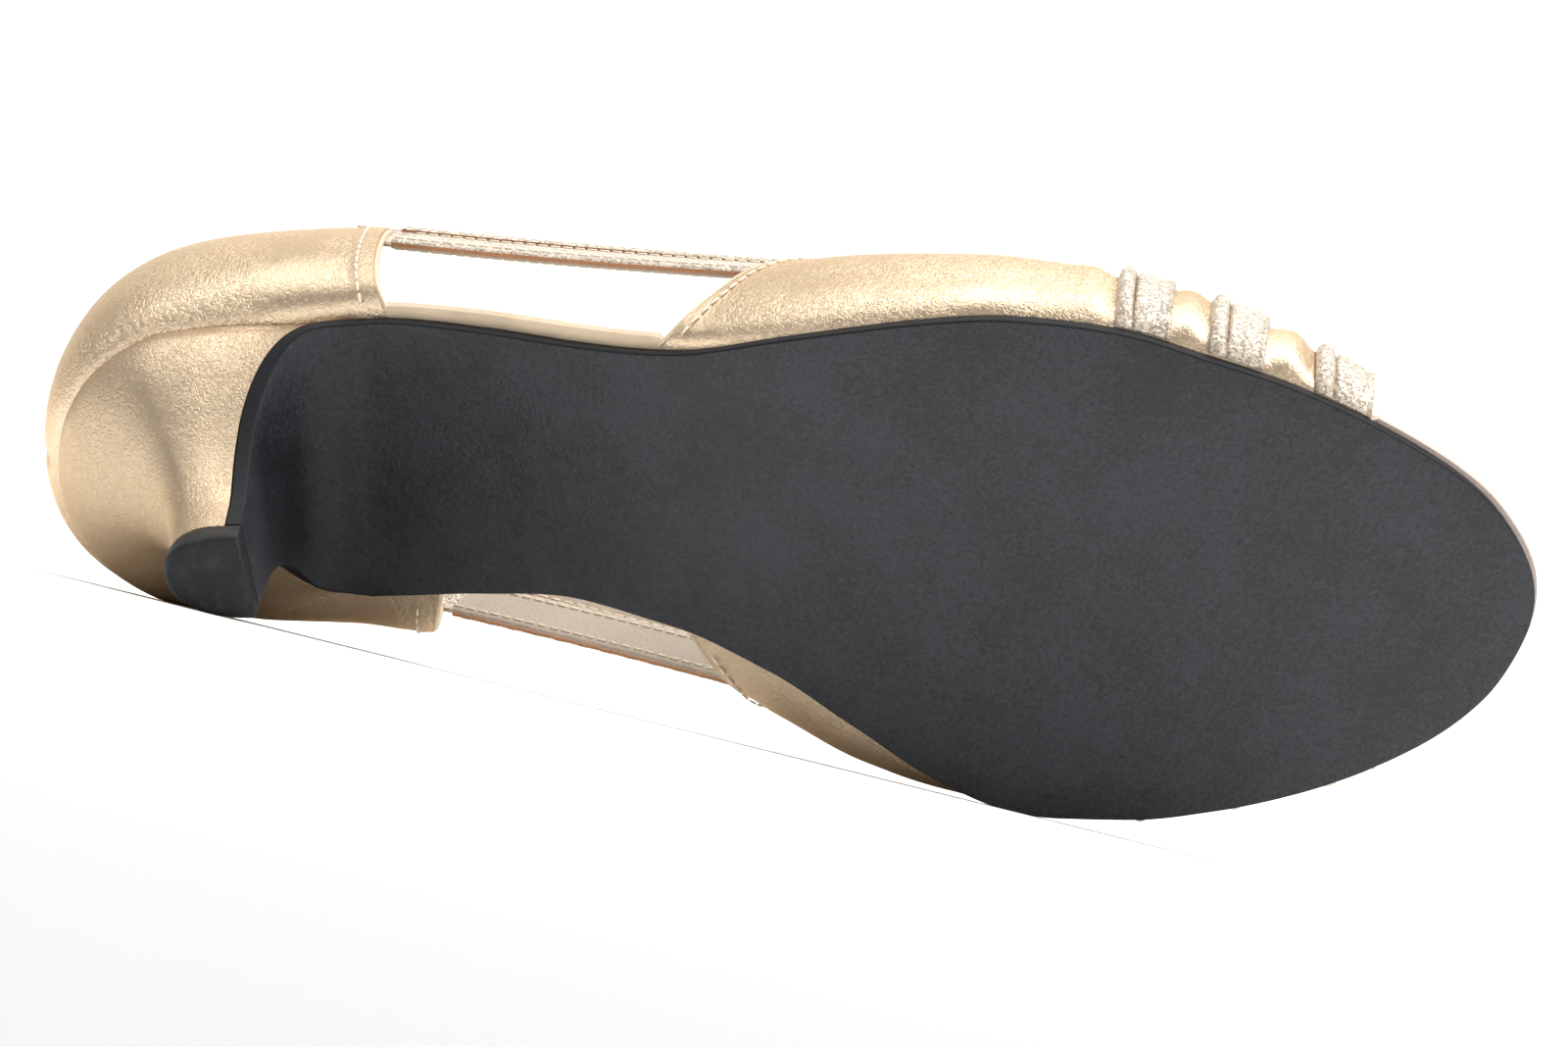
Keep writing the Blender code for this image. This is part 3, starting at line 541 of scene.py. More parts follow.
class Finish:
    """A material under construction."""

    def __init__(self, name):
        self.material = bpy.data.materials.new(name)
        self.material.use_nodes = True
        self.tree = self.material.node_tree
        self.shader = self.tree.nodes["Principled BSDF"]
        coordinates = self.tree.nodes.new("ShaderNodeTexCoord")
        self.place = coordinates.outputs["Object"]

    def feed(self, socket, value):
        """Links a wire or an output to a socket, or sets the socket to a plain value."""
        value = value.value if isinstance(value, Wire) else value
        if isinstance(value, bpy.types.NodeSocket):
            self.tree.links.new(value, socket)
        elif value is not None:
            socket.default_value = value

    def node(self, kind, settings, *values, **named):
        """Any node: its settings first, then its sockets in order or by name."""
        node = self.tree.nodes.new(kind)
        for key, value in settings.items():
            setattr(node, key, value)
        pairs = [(node.inputs[i], value) for i, value in enumerate(values)]
        pairs += [(node.inputs[key.replace("_", " ")], value) for key, value in named.items()]
        for socket, value in pairs:
            self.feed(socket, value)
        return node

    def noise(self, size, detail=3.0, rough=0.5, stretch=None, distortion=0.0):
        """Soft noise whose lumps are about size metres across."""
        place = self.place
        if stretch is not None:
            place = self.node("ShaderNodeMapping", {}, place, Scale=stretch).outputs[0]
        node = self.node("ShaderNodeTexNoise", {}, Vector=place, Scale=1.0 / size,
                         Detail=detail, Roughness=rough, Distortion=distortion)
        return Wire(self, node.outputs["Fac"])

    def cells(self, size, feature="F1", output="Distance", randomness=1.0):
        node = self.node("ShaderNodeTexVoronoi", {"feature": feature}, Vector=self.place,
                         Scale=1.0 / size, Randomness=randomness)
        return Wire(self, node.outputs[output])

    def ramp(self, value, low, high):
        node = self.node("ShaderNodeMapRange", {"interpolation_type": "SMOOTHSTEP"}, value,
                         From_Min=low, From_Max=high)
        return Wire(self, node.outputs[0])

    def blend(self, factor, first, second):
        node = self.node("ShaderNodeMix", {"data_type": "RGBA"})
        for index, value in ((0, factor), (6, first), (7, second)):
            self.feed(node.inputs[index], value)
        return Wire(self, node.outputs[2])

    def bump(self, height, depth, under=None):
        """Bump of a height from 0 to 1 that is depth metres deep."""
        node = self.node("ShaderNodeBump", {}, Strength=1.0, Distance=depth, Height=height,
                         Normal=under)
        return node.outputs[0]

    def finish(self, colour, roughness, metallic=0.0, normal=None, **constants):
        values = {"Base Color": colour, "Roughness": roughness, "Metallic": metallic,
                  "Normal": normal}
        values.update((key.replace("_", " "), value) for key, value in constants.items())
        for key, value in values.items():
            self.feed(self.shader.inputs[key], value)
        return self.material


def colour_prop(name, description, default):
    return bpy.props.FloatVectorProperty(name=name, description=description, default=default,
                                         subtype="COLOR", size=4, min=0.0, max=1.0)


def length_prop(name, description, default):
    return bpy.props.FloatProperty(name=name, description=description, default=default,
                                   min=0.0, precision=5, unit="LENGTH")


class SandalColours(bpy.types.PropertyGroup):
    gold: colour_prop("Gold", "Champagne gold leather", (0.66, 0.52, 0.365, 1.0))
    gold_deep: colour_prop("Deep gold", "Gold in the hollows", (0.50, 0.37, 0.235, 1.0))
    sole: colour_prop("Sole", "Black sole", (0.016, 0.017, 0.020, 1.0))
    rubber: colour_prop("Top lift", "Black rubber top lift", (0.009, 0.010, 0.011, 1.0))
    glitter: colour_prop("Glitter", "Pale flakes", (0.66, 0.57, 0.46, 1.0))
    backing: colour_prop("Glitter backing", "Taupe cloth under the flakes",
                         (0.30, 0.24, 0.18, 1.0))
    copper: colour_prop("Raw edge", "Copper-brown cut leather edge", (0.56, 0.27, 0.12, 1.0))
    lining: colour_prop("Lining", "Grey-beige lining", (0.47, 0.39, 0.31, 1.0))
    toe_edge: colour_prop("Toe edge", "Pinkish wrap round the toe of the insole",
                          (0.56, 0.45, 0.40, 1.0))
    sock: colour_prop("Sock", "Pale insole sock", (0.62, 0.50, 0.40, 1.0))
    thread: colour_prop("Thread", "Pale thread", (0.80, 0.71, 0.56, 1.0))


class SandalSizes(bpy.types.PropertyGroup):
    stitch_pitch: length_prop("Stitch pitch", "Distance from stitch to stitch", 0.0024)
    stitch_length: length_prop("Stitch length", "Length of one stitch", 0.0017)
    thread_width: length_prop("Thread width", "Thickness of the thread", 0.0004)
    fold_lip: length_prop("Fold lip", "How far the folded edges stand proud", 0.00025)
    fold_width: length_prop("Fold width", "Width of the folded edges", 0.0042)
    camera_distance: length_prop("Camera distance", "From the middle of the shoe", 1.30)
    camera_height: length_prop("Camera height", "Above the floor", 0.006)


def sizes():
    return bpy.context.scene.sandal_sizes


def colours():
    return bpy.context.scene.sandal_colours


def deeper(colour, share):
    """A colour times a share, for hollows, for darker and lighter tones, and for the heel's painted
    shade.
    """
    return tuple(value * share for value in list(colour)[:3]) + (1.0,)


def gold_leather(name="gold_leather", share=1.0, gloss=0.33, depth=0.00014):
    """Foil leather: fine crinkled grain that comes and goes, and deeper gold in its hollows."""
    f = Finish(name)
    c = colours()
    crinkle = f.noise(0.0010, 2.5, 0.5, distortion=1.6)
    ridge = f.ramp(crinkle, 0.36, 0.60)
    pores = f.noise(0.00045, 2.0, 0.5)
    wrinkle = f.noise(0.0050, 3.0, 0.5, distortion=0.8)
    cloud = f.noise(0.020, 2.0, 0.5)
    strength = f.ramp(cloud, 0.38, 0.60) * 0.7 + 0.3
    height = (ridge * 0.7 + pores * 0.3) * strength + wrinkle * 0.45
    # A share below 1 darkens the whole gold; the heel's 0.80 is painted shade
    colour = f.blend(ridge * 0.35 + 0.55, deeper(c.gold_deep, share), deeper(c.gold, share))
    rough = f.ramp(cloud, 0.3, 0.7) * 0.06 + gloss
    return f.finish(colour, rough, 0.85, f.bump(height, depth), Coat_Weight=0.06,
                    Coat_Roughness=0.4, Specular_Tint=(0.80, 0.66, 0.48, 1.0))


def painted_shade_heel_leather():
    """The same leather, stretched tight over the heel, its gold darkened to 0.80 as painted shade.
    """
    return gold_leather("painted_shade_heel_leather", 0.80, 0.38, 0.00009)


def gold_wrap():
    """Smoother gold skin round the edge of the insole and in the piping."""
    f = Finish("gold_wrap")
    c = colours()
    pores = f.noise(0.0005, 3.0, 0.6)
    cloud = f.noise(0.012, 3.0)
    colour = f.blend(f.ramp(cloud, 0.35, 0.65), deeper(c.gold, 0.84), deeper(c.gold, 0.98))
    return f.finish(colour, f.ramp(pores, 0.3, 0.7) * 0.1 + 0.42, 0.45, f.bump(pores, 0.00008))


def toe_wrap():
    f = Finish("toe_wrap")
    c = colours()
    pores = f.noise(0.0005, 3.0, 0.6)
    colour = f.blend(f.ramp(pores, 0.35, 0.65), deeper(c.toe_edge, 0.85), tuple(c.toe_edge))
    return f.finish(colour, 0.5, 0.1, f.bump(pores, 0.0001))


def lining_leather():
    f = Finish("lining_leather")
    c = colours()
    grain = f.noise(0.0006, 4.0, 0.6)
    cloud = f.noise(0.02, 3.0)
    colour = f.blend(f.ramp(grain * 0.5 + cloud * 0.5, 0.3, 0.7), deeper(c.lining, 0.8),
                     tuple(c.lining))
    return f.finish(colour, 0.6, 0.0, f.bump(grain, 0.00015))


def insole_sock():
    f = Finish("insole_sock")
    c = colours()
    grain = f.noise(0.0008, 4.0, 0.6)
    cloud = f.noise(0.03, 2.0)
    colour = f.blend(f.ramp(grain * 0.4 + cloud * 0.6, 0.3, 0.7), deeper(c.sock, 0.9),
                     tuple(c.sock))
    return f.finish(colour, 0.55, 0.0, f.bump(grain, 0.00012))


def copper_edge():
    f = Finish("copper_edge")
    c = colours()
    fibre = f.noise(0.0006, 5.0, 0.7)
    colour = f.blend(f.ramp(fibre, 0.3, 0.7), deeper(c.copper, 0.7), tuple(c.copper))
    return f.finish(colour, 0.62, 0.0, f.bump(fibre, 0.0002))


def black_sole():
    """Satin black sole with a fine stippled grain and faint clouds of wear."""
    f = Finish("black_sole")
    c = colours()
    stipple = f.noise(0.0007, 3.0, 0.6, distortion=0.6)
    fine = f.noise(0.00028, 2.0, 0.5)
    cloud = f.noise(0.020, 4.0, 0.6)
    height = stipple * 0.7 + fine * 0.3
    tone = f.ramp(stipple * 0.55 + cloud * 0.45, 0.38, 0.62)
    colour = f.blend(tone, deeper(c.sole, 0.55), deeper(c.sole, 1.60))
    rough = f.ramp(cloud, 0.3, 0.7) * 0.10 + 0.42
    return f.finish(colour, rough, 0.0, f.bump(height, 0.00034), Specular_IOR_Level=0.36)


def sole_edge():
    f = Finish("sole_edge")
    c = colours()
    fine = f.noise(0.0005, 3.0)
    return f.finish(deeper(c.sole, 0.45), 0.6, 0.0, f.bump(fine, 0.00008),
                    Specular_IOR_Level=0.15)


def black_rubber():
    """Rubber with grey dust rubbed into it."""
    f = Finish("black_rubber")
    c = colours()
    fine = f.noise(0.0006, 4.0, 0.7)
    dust = f.noise(0.0030, 5.0, 0.7)
    colour = f.blend(f.ramp(dust, 0.48, 0.72) * 0.18, tuple(c.rubber), (0.09, 0.095, 0.10, 1))
    return f.finish(colour, 0.55, 0.0, f.bump(fine, 0.00015), Specular_IOR_Level=0.22)


def glitter_cloth():
    """Crinkled cloth full of fine flakes, each with its own brightness and gloss."""
    f = Finish("glitter_cloth")
    c = colours()
    flake = f.cells(0.00040, "F1", "Color")
    split = f.node("ShaderNodeSeparateColor", {}, flake)
    tone = Wire(f, split.outputs[0])
    tilt = Wire(f, split.outputs[1])
    crinkle = f.noise(0.0013, 3.0, 0.6, distortion=1.6)
    colour = f.blend(f.ramp(tone * 0.6 + crinkle * 0.4, 0.22, 0.62), tuple(c.backing),
                     tuple(c.glitter))
    metal = tone.above(0.55) * 0.7
    height = crinkle * 0.8 + tilt * 0.35
    return f.finish(colour, tilt * 0.3 + 0.28, metal, f.bump(height, 0.00045))


def thread_finish():
    f = Finish("thread")
    c = colours()
    fibre = f.noise(0.0003, 3.0)
    return f.finish(tuple(c.thread), 0.5, 0.0, f.bump(fibre, 0.00008), Sheen_Weight=0.2)


FINISHES = {}


def finish_of(name):
    """Each finish is built once."""
    makers = {"gold": gold_leather, "heel": painted_shade_heel_leather, "wrap": gold_wrap,
              "toe_edge": toe_wrap, "lining": lining_leather, "sock": insole_sock,
              "copper": copper_edge, "sole": black_sole, "sole_edge": sole_edge,
              "rubber": black_rubber, "glitter": glitter_cloth, "thread": thread_finish}
    if name not in FINISHES:
        FINISHES[name] = makers[name]()
    return FINISHES[name]


def dents(points, normals, rows):
    """Soft troughs and ridges: each row has both ends in the shoe's own
    frame in millimetres, its half width and its height, negative for a trough."""
    lift = np.zeros(points.shape[:-1])
    for ax, ay, az, bx, by, bz, width, height in rows:
        start = np.array((ax, ay, az)) / 1000
        run = np.array((bx, by, bz)) / 1000 - start
        t = np.clip(((points - start) @ run) / (run @ run), 0, 1)
        near = points - (start + t[..., None] * run)
        spread = np.linalg.norm(near, axis=-1) / (width / 1000)
        taper = 0.35 + 0.65 * np.sin(math.pi * np.clip(t, 0.02, 0.98))
        lift += height / 1000 * taper * np.exp(-spread ** 2)
    return points + normals * lift[..., None]


STITCH_NODES = {
    "start": "NodeGroupInput", "end": "NodeGroupOutput", "curve": "GeometryNodeMeshToCurve",
    "resample": "GeometryNodeResampleCurve", "tangent": "GeometryNodeInputTangent",
    "align": "FunctionNodeAlignRotationToVector", "rod": "GeometryNodeMeshCylinder",
    "narrow": "ShaderNodeMath", "place": "GeometryNodeInstanceOnPoints",
    "real": "GeometryNodeRealizeInstances", "smooth": "GeometryNodeSetShadeSmooth",
    "paint": "GeometryNodeSetMaterial",
}
STITCH_LINKS = (
    ("start", 0, "curve", 0), ("curve", 0, "resample", 0),
    ("start", "Pitch", "resample", "Length"), ("start", "Length", "rod", "Depth"),
    ("start", "Width", "narrow", 0), ("narrow", 0, "rod", "Radius"),
    ("tangent", 0, "align", "Vector"), ("resample", 0, "place", "Points"),
    ("rod", "Mesh", "place", "Instance"), ("align", 0, "place", "Rotation"),
    ("place", 0, "real", 0), ("real", 0, "smooth", 0), ("smooth", 0, "paint", 0),
    ("paint", 0, "end", 0),
)


def stitch_line(name, paths):
    """Stitches along paths, by Geometry Nodes: resampled at the pitch, one small rounded
    rod at each point, turned along the path."""
    s = sizes()
    mesh = bpy.data.meshes.new(name)
    points = []
    edges = []
    for path in paths:
        first = len(points)
        points += placed(path).tolist()
        edges += [(first + i, first + i + 1) for i in range(len(path) - 1)]
    mesh.from_pydata(points, edges, [])
    obj = bpy.data.objects.new(name, mesh)
    bpy.context.scene.collection.objects.link(obj)
    tree = bpy.data.node_groups.new(name, "GeometryNodeTree")
    tree.interface.new_socket("Geometry", in_out="INPUT", socket_type="NodeSocketGeometry")
    names = (("Pitch", s.stitch_pitch), ("Length", s.stitch_length), ("Width", s.thread_width))
    for label, value in names:
        tree.interface.new_socket(label, in_out="INPUT", socket_type="NodeSocketFloat")
    tree.interface.new_socket("Geometry", in_out="OUTPUT", socket_type="NodeSocketGeometry")
    nodes = {key: tree.nodes.new(kind) for key, kind in STITCH_NODES.items()}
    nodes["resample"].mode = "LENGTH"
    nodes["align"].axis = "Z"
    nodes["rod"].inputs["Vertices"].default_value = 6
    nodes["rod"].inputs["Side Segments"].default_value = 3
    nodes["narrow"].operation = "MULTIPLY"
    nodes["narrow"].inputs[1].default_value = 0.5
    nodes["paint"].inputs["Material"].default_value = finish_of("thread")
    for source, output, target, socket in STITCH_LINKS:
        tree.links.new(nodes[source].outputs[output], nodes[target].inputs[socket])
    modifier = obj.modifiers.new("stitches", "NODES")
    modifier.node_group = tree
    for item in tree.interface.items_tree:
        if item.in_out == "INPUT" and item.name in dict(names):
            modifier[item.identifier] = dict(names)[item.name]
    graph = bpy.context.evaluated_depsgraph_get()
    result = bpy.data.meshes.new_from_object(obj.evaluated_get(graph))
    obj.modifiers.clear()
    obj.data = result
    return obj


def sole_loops():
    """Sections of the sole from the toe through the waist and down the breast."""
    corner = float(breast_place(0.0)[0]) / LAST_LENGTH
    shares = round_spaced(150, 0.99985, corner + 0.010)
    downs = np.concatenate([spaced(30, 0.0, 0.26), spaced(30, 0.28, 1.0)])
    left = []
    right = []
    way = []
    for share in shares:
        for side, rows in ((-1, left), (1, right)):
            place = edge_xy(side, share, sole_inset(side, share))
            rows.append((place[0], place[1], bottom_z(place[0] / LAST_LENGTH) - GAP))
        way.append(0.0)
    seat_share = corner
    for down in downs:
        place = breast_place(down)
        for side, rows, name in ((-1, left, "lateral"), (1, right, "medial")):
            seat = outline_y("feather", side, seat_share) - side * sole_inset(side, seat_share)
            foot = TOP_LIFT_SIDE + side * TOP_LIFT_WIDTH / 2
            rows.append((place[0], seat + (foot - seat) * heel[name](down), place[2]))
        way.append(down)
    left = np.array(left)
    right = np.array(right)
    way = np.array(way)
    middle = (left + right) / 2
    ahead = np.gradient(middle, axis=0)
    under = unit(np.stack([-ahead[:, 2], np.zeros(len(ahead)), ahead[:, 0]], axis=-1))
    under[-1] = (1, 0, 0)
    width = np.linalg.norm(right - left, axis=1)
    across = unit(right - left)
    loops = []
    for i in range(len(left)):
        bevel = min(SOLE_BEVEL, width[i] / 4)
        loop = [left[i]]
        for turn in spaced(5, 0, math.pi / 2):
            loop.append(left[i] + across[i] * (bevel - bevel * math.cos(turn))
                        + under[i] * (SOLE_THICKNESS - bevel + bevel * math.sin(turn)))
        inner = width[i] - 2 * bevel
        for t in spaced(13)[1:-1]:
            loop.append(left[i] + across[i] * (bevel + inner * t) + under[i] * SOLE_THICKNESS)
        for turn in spaced(5, math.pi / 2, 0):
            loop.append(right[i] - across[i] * (bevel - bevel * math.cos(turn))
                        + under[i] * (SOLE_THICKNESS - bevel + bevel * math.sin(turn)))
        loop.append(right[i])
        loops.append(twist(np.array(loop), way[i]))
    return np.array(loops)


class SANDAL_OT_outsole(bpy.types.Operator):
    """Black sole from the toe through the waist and down the front of the heel"""
    bl_idname = "sandal.outsole"
    bl_label = "Outsole"

    def execute(self, context):
        loops = sole_loops()
        count = loops.shape[1]
        edges = set(range(0, 4)) | set(range(count - 5, count))
        obj = loft("sole", loops, [finish_of("sole"), finish_of("sole_edge")],
                   lambda k: 1 if k in edges else 0, caps="fan")
        ridden(obj, "sole", "outsole")
        return {"FINISHED"}


def lift_ring(z, inward, count=61):
    half = TOP_LIFT_WIDTH / 2 - inward
    front = top_lift_front() - inward
    depth = TOP_LIFT_LENGTH - 2 * inward
    turn = spaced(count, 0, math.pi)
    y = TOP_LIFT_SIDE - half * np.sign(np.cos(turn)) * np.abs(np.cos(turn)) ** LIFT_POWER
    x = front - depth * np.abs(np.sin(turn)) ** LIFT_POWER
    return twist(stack(x, y, z), 1.0)


# Rings of the top lift from the walking face up: height, and distance in from its edge
LIFT_LEVELS = (
    (0.0, 0.0022), (0.0, 0.0009), (0.0002, 0.0005), (0.0006, 0.0001), (0.0012, 0.0),
    (TOP_LIFT_HEIGHT - 0.0003, 0.0), (TOP_LIFT_HEIGHT, 0.0002), (TOP_LIFT_HEIGHT, 0.0015),
)


class SANDAL_OT_top_lift(bpy.types.Operator):
    """Rubber top lift with a bevelled rim"""
    bl_idname = "sandal.top_lift"
    bl_label = "Top lift"

    def execute(self, context):
        loops = np.array([lift_ring(z, inward) for z, inward in LIFT_LEVELS])
        obj = loft("top_lift_rubber", loops, [finish_of("rubber")])
        ridden(obj, "top_lift", "top_lift")
        return {"FINISHED"}


# Steps down the heel, and how far down its breast still bends away from the seat
HEEL_STEPS = np.concatenate([spaced(28, 0, 0.5), spaced(20, 0.52, 1.0)])
BEND_END = 0.2


def heel_loops(count=91):
    """D-shaped sections of the heel from the seat to the top lift."""
    seat_front = float(breast_place(0.0)[0]) - SEAT_SETBACK
    front_turn = turn_of(seat_front / LAST_LENGTH)
    ring = spaced(count, -1, 1)
    side = np.where(ring < 0, -1, 1)
    share = (1 - np.cos(front_turn * np.abs(ring))) / 2
    inward = np.where(side < 0, sole_inset(-1, share), sole_inset(1, share)) + GAP
    seat = edge_xy(side, share, inward)
    foot = lift_ring(0.0, GAP, count)
    middle = count // 2
    loops = []
    for down in HEEL_STEPS:
        front = breast_place(down)
        run = breast_place(min(down + 0.02, 1)) - breast_place(max(down - 0.02, 0))
        off = unit(np.array((run[2], 0, -run[0]))) * BREAST_GAP
        bent = down <= BEND_END
        if (bent and off[2] < 0) or (not bent and off[0] > 0):
            off = -off
        front = front + off
        if down == 0:
            front = np.array((seat_front, 0, bottom_z(seat_front / LAST_LENGTH) - GAP))
        back = heel["back"](down)
        back_x = seat[middle, 0] + (TOP_LIFT_BACK + GAP - seat[middle, 0]) * back
        seat_z = bottom_z(seat[middle, 0] / LAST_LENGTH) - GAP
        back_z = seat_z + (TOP_LIFT_HEIGHT + GAP - seat_z) * heel["drop"](down)
        flat_foot = foot[:, 0] - (foot[:, 1] - TOP_LIFT_SIDE) * math.tan(TOP_LIFT_TURN)
        depth_seat = (seat_front - seat[:, 0]) / (seat_front - seat[middle, 0])
        depth_foot = (top_lift_front() - GAP - flat_foot) / (TOP_LIFT_LENGTH - 2 * GAP)
        over = np.clip((seat[:, 1] - seat[0, 1]) / (seat[-1, 1] - seat[0, 1]), 0, 1)
        narrow = heel["lateral"](down) * (1 - over) + heel["medial"](down) * over
        depth = np.clip(depth_seat + (depth_foot - depth_seat) * narrow, 0, 1)
        y = seat[:, 1] + (foot[:, 1] - seat[:, 1]) * narrow
        x = front[0] - (front[0] - back_x) * depth
        z = front[2] + (back_z - front[2]) * depth
        if down == 0:
            z = bottom_z(x / LAST_LENGTH) - GAP
        loops.append(twist(stack(x, y, z), down))
    return np.array(loops)


class SANDAL_OT_heel(bpy.types.Operator):
    """Leather-covered kitten heel"""
    bl_idname = "sandal.heel"
    bl_label = "Heel"

    def execute(self, context):
        loops = heel_loops()
        obj = loft("heel_cover", loops, [finish_of("heel")])
        ridden(obj, "leather", "heel")
        return {"FINISHED"}


def insole_inset(side, share):
    """The insole stands out to the feather line where nothing covers its edge."""
    front = QUARTER_FRONT_LAT if side < 0 else QUARTER_FRONT_MED
    throat = vamp["throat"](0.0 if side < 0 else 1.0)
    toe = vamp["toe"](0.0)
    waist = step(share, front - 0.006, front - 0.001)
    waist = waist * (1 - step(share, throat + 0.001, throat + 0.006))
    open_toe = step(share, toe - 0.004, toe + 0.004)
    return SOCK_SETBACK * (1 - np.maximum(waist, open_toe))


def board_section(left, right, height, round_off, crown, steps=11):
    """Flat-bottomed board between two edges, with round upper corners and a slight crown."""
    width = np.linalg.norm(right - left)
    across = (right - left) / width
    up = np.array((0, 0, 1.0))
    bevel = min(round_off, width / 4)
    loop = [left]
    for turn in spaced(5, 0, math.pi / 2):
        loop.append(left + across * bevel * (1 - math.cos(turn))
                    + up * (height - bevel + bevel * math.sin(turn)))
    for t in spaced(steps)[1:-1]:
        pad = crown * math.sin(math.pi * t)
        loop.append(left + across * (bevel + (width - 2 * bevel) * t) + up * (height + pad))
    for turn in spaced(5, math.pi / 2, 0):
        loop.append(right - across * bevel * (1 - math.cos(turn))
                    + up * (height - bevel + bevel * math.sin(turn)))
    loop.append(right)
    return np.array(loop)


class SANDAL_OT_insole(bpy.types.Operator):
    """Insole with its wrapped edge and pale sock"""
    bl_idname = "sandal.insole"
    bl_label = "Insole"

    def execute(self, context):
        loops = []
        shares = round_spaced(260, 0.0002, 0.9999)
        for share in shares:
            ends = []
            for side in (-1, 1):
                x, y = edge_xy(side, share, insole_inset(side, share))
                ends.append(np.array((x, y, bottom_z(x / LAST_LENGTH))))
            loops.append(board_section(ends[0], ends[1], INSOLE_THICKNESS, 0.0011, 0.0005))
        loops = np.array(loops)
        count = loops.shape[1]
        sock = set(range(5, count - 6))
        obj = loft("insole_cover", loops, [finish_of("wrap"), finish_of("sock"),
                                           finish_of("toe_edge")],
                   lambda k: 1 if k in sock else 0, caps="fan")
        toe_x = LAST_LENGTH * (vamp["toe"](0.5) - 0.01)
        back = SHOE.inverted()
        for face in obj.data.polygons:
            if face.material_index == 0 and (back @ face.center).x > toe_x:
                face.material_index = 2
        ridden(obj, "insole", "insole")
        return {"FINISHED"}


# Creases of the vamp and the quarter: both ends in the shoe's frame, half width, height, in mm
VAMP_CREASES = (
    (122, -41, 20, 150, -45, 14, 3.0, -0.35),
    (128, -40, 30, 158, -43, 22, 4.0, 0.30),
    (140, -45, 12, 172, -44, 10, 2.6, -0.30),
    (118, 30, 20, 140, 40, 12, 3.0, -0.35),
    (150, -30, 42, 158, 30, 42, 5.0, -0.40),
    (163, -28, 38, 170, 32, 38, 4.5, 0.30),
)
QUARTER_CREASES = (
    (3, -14, 52, 14, -24, 50, 2.2, -0.30),
    (16, -26, 50, 40, -29, 50, 2.4, -0.30),
    (30, -31, 58, 54, -33, 56, 4.0, 0.30),
    (6, 20, 52, 30, 30, 50, 2.4, -0.28),
    (38, 31, 52, 58, 33, 52, 3.0, -0.30),
)


def lip_row(outer, inner, last, before, proud):
    """Row of points that rounds a wall's edge over between its two faces."""
    middle = (outer[:, last] + inner[:, last]) / 2
    return (middle + unit(outer[:, last] - outer[:, before]) * proud)[:, None]


def vamp_grid(rows=96, columns=150):
    low = spaced(24, 0, 1) ** 1.4 * LOWER_SHARE
    over = spaced(columns - 48, LOWER_SHARE, 1 - LOWER_SHARE)[1:-1]
    across = np.concatenate([low, over, 1 - low[::-1]])
    along = spaced(rows)
    return across, along, vamp_points(along[None, :], across[:, None])


def between_bands(points, across):
    """Puff of the leather between the bands and the dip beside each of them."""
    x = points[..., 0] / LAST_LENGTH
    lift = np.zeros(x.shape)
    starts = [row[0] + (row[1] - row[0]) * across for row in BANDS]
    width = BAND_WIDTH / LAST_LENGTH
    for start in starts:
        for edge, side in ((start, -1), (start + width, 1)):
            away = (x - edge) * side * LAST_LENGTH
            dip = np.exp(-(away / DIP_WIDTH) ** 2) * DIP_DEPTH
            puff = np.exp(-((away - PUFF_PLACE) / PUFF_WIDTH) ** 2) * PUFF_HEIGHT
            lift += np.where(away > -0.0005, puff - dip, 0)
    return lift


class SANDAL_OT_vamp(bpy.types.Operator):
    """Gold vamp over the ball of the foot, with its lining and bound edges"""
    bl_idname = "sandal.vamp"
    bl_label = "Vamp"

    def execute(self, context):
        across, along, points = vamp_grid()
        normals = grid_normals(points)
        lip = sizes().fold_lip
        outer = dents(points, normals, VAMP_CREASES)
        clear = step(np.minimum(across, 1 - across)[:, None], 0.03, 0.10)
        puff = between_bands(points, across[:, None]) * clear
        run = np.linalg.norm(points - points[:, :1], axis=-1)
        fold = lip * step(run, *VAMP_FOLD) * clear
        outer = outer + normals * (puff + fold)[..., None]
        inner = points - normals * UPPER_WALL
        throat = lip_row(outer, inner, 0, 1, LIP_ROUND)
        toe = lip_row(outer, inner, -1, -2, LIP_ROUND)
        loops = np.concatenate([outer, toe, inner[:, ::-1], throat], axis=1)
        rows = points.shape[1]
        obj = loft("vamp_leather", loops, [finish_of("gold"), finish_of("lining")],
                   lambda k: 1 if rows + 1 < k < 2 * rows else 0)
        ridden(obj, "leather", "upper")
        return {"FINISHED"}


class SANDAL_OT_quarter(bpy.types.Operator):
    """Gold quarter round the closed heel, with folded front edges"""
    bl_idname = "sandal.quarter"
    bl_label = "Quarter"

    def execute(self, context):
        s = sizes()
        round_heel = spaced(181, -1, 1)
        low = spaced(26) ** 1.3 * QUARTER_SPLIT
        up = np.concatenate([low, spaced(40, QUARTER_SPLIT, 1)[1:]])
        points = quarter_points(round_heel[:, None], up[None, :])
        normals = grid_normals(points)
        outer = dents(points, normals, QUARTER_CREASES)
        clear = step(up[None, :], 0.10, 0.24)
        lateral = np.linalg.norm(points - points[:1], axis=-1)
        medial = np.linalg.norm(points - points[-1:], axis=-1)
        edge = np.minimum(lateral, medial)
        fold = s.fold_lip * step(edge, s.fold_width, s.fold_width * 0.8)
        collar = np.linalg.norm(points - points[:, -1:], axis=-1)
        fold = np.maximum(fold, s.fold_lip * step(collar, *COLLAR_FOLD))
        seam = -SEAM_DEPTH * np.exp(-(np.abs(round_heel)[:, None] / SEAM_SHARE) ** 2)
        outer = outer + normals * ((fold + seam) * clear)[..., None]
        inner = points - normals * UPPER_WALL
        top = lip_row(outer, inner, -1, -2, COLLAR_ROUND)
        loops = np.concatenate([outer, top, inner[:, ::-1]], axis=1)
        rows = points.shape[1]
        obj = loft("quarter_leather", loops, [finish_of("gold"), finish_of("lining")],
                   lambda k: 1 if rows < k < 2 * rows else 0)
        ridden(obj, "leather")
        return {"FINISHED"}


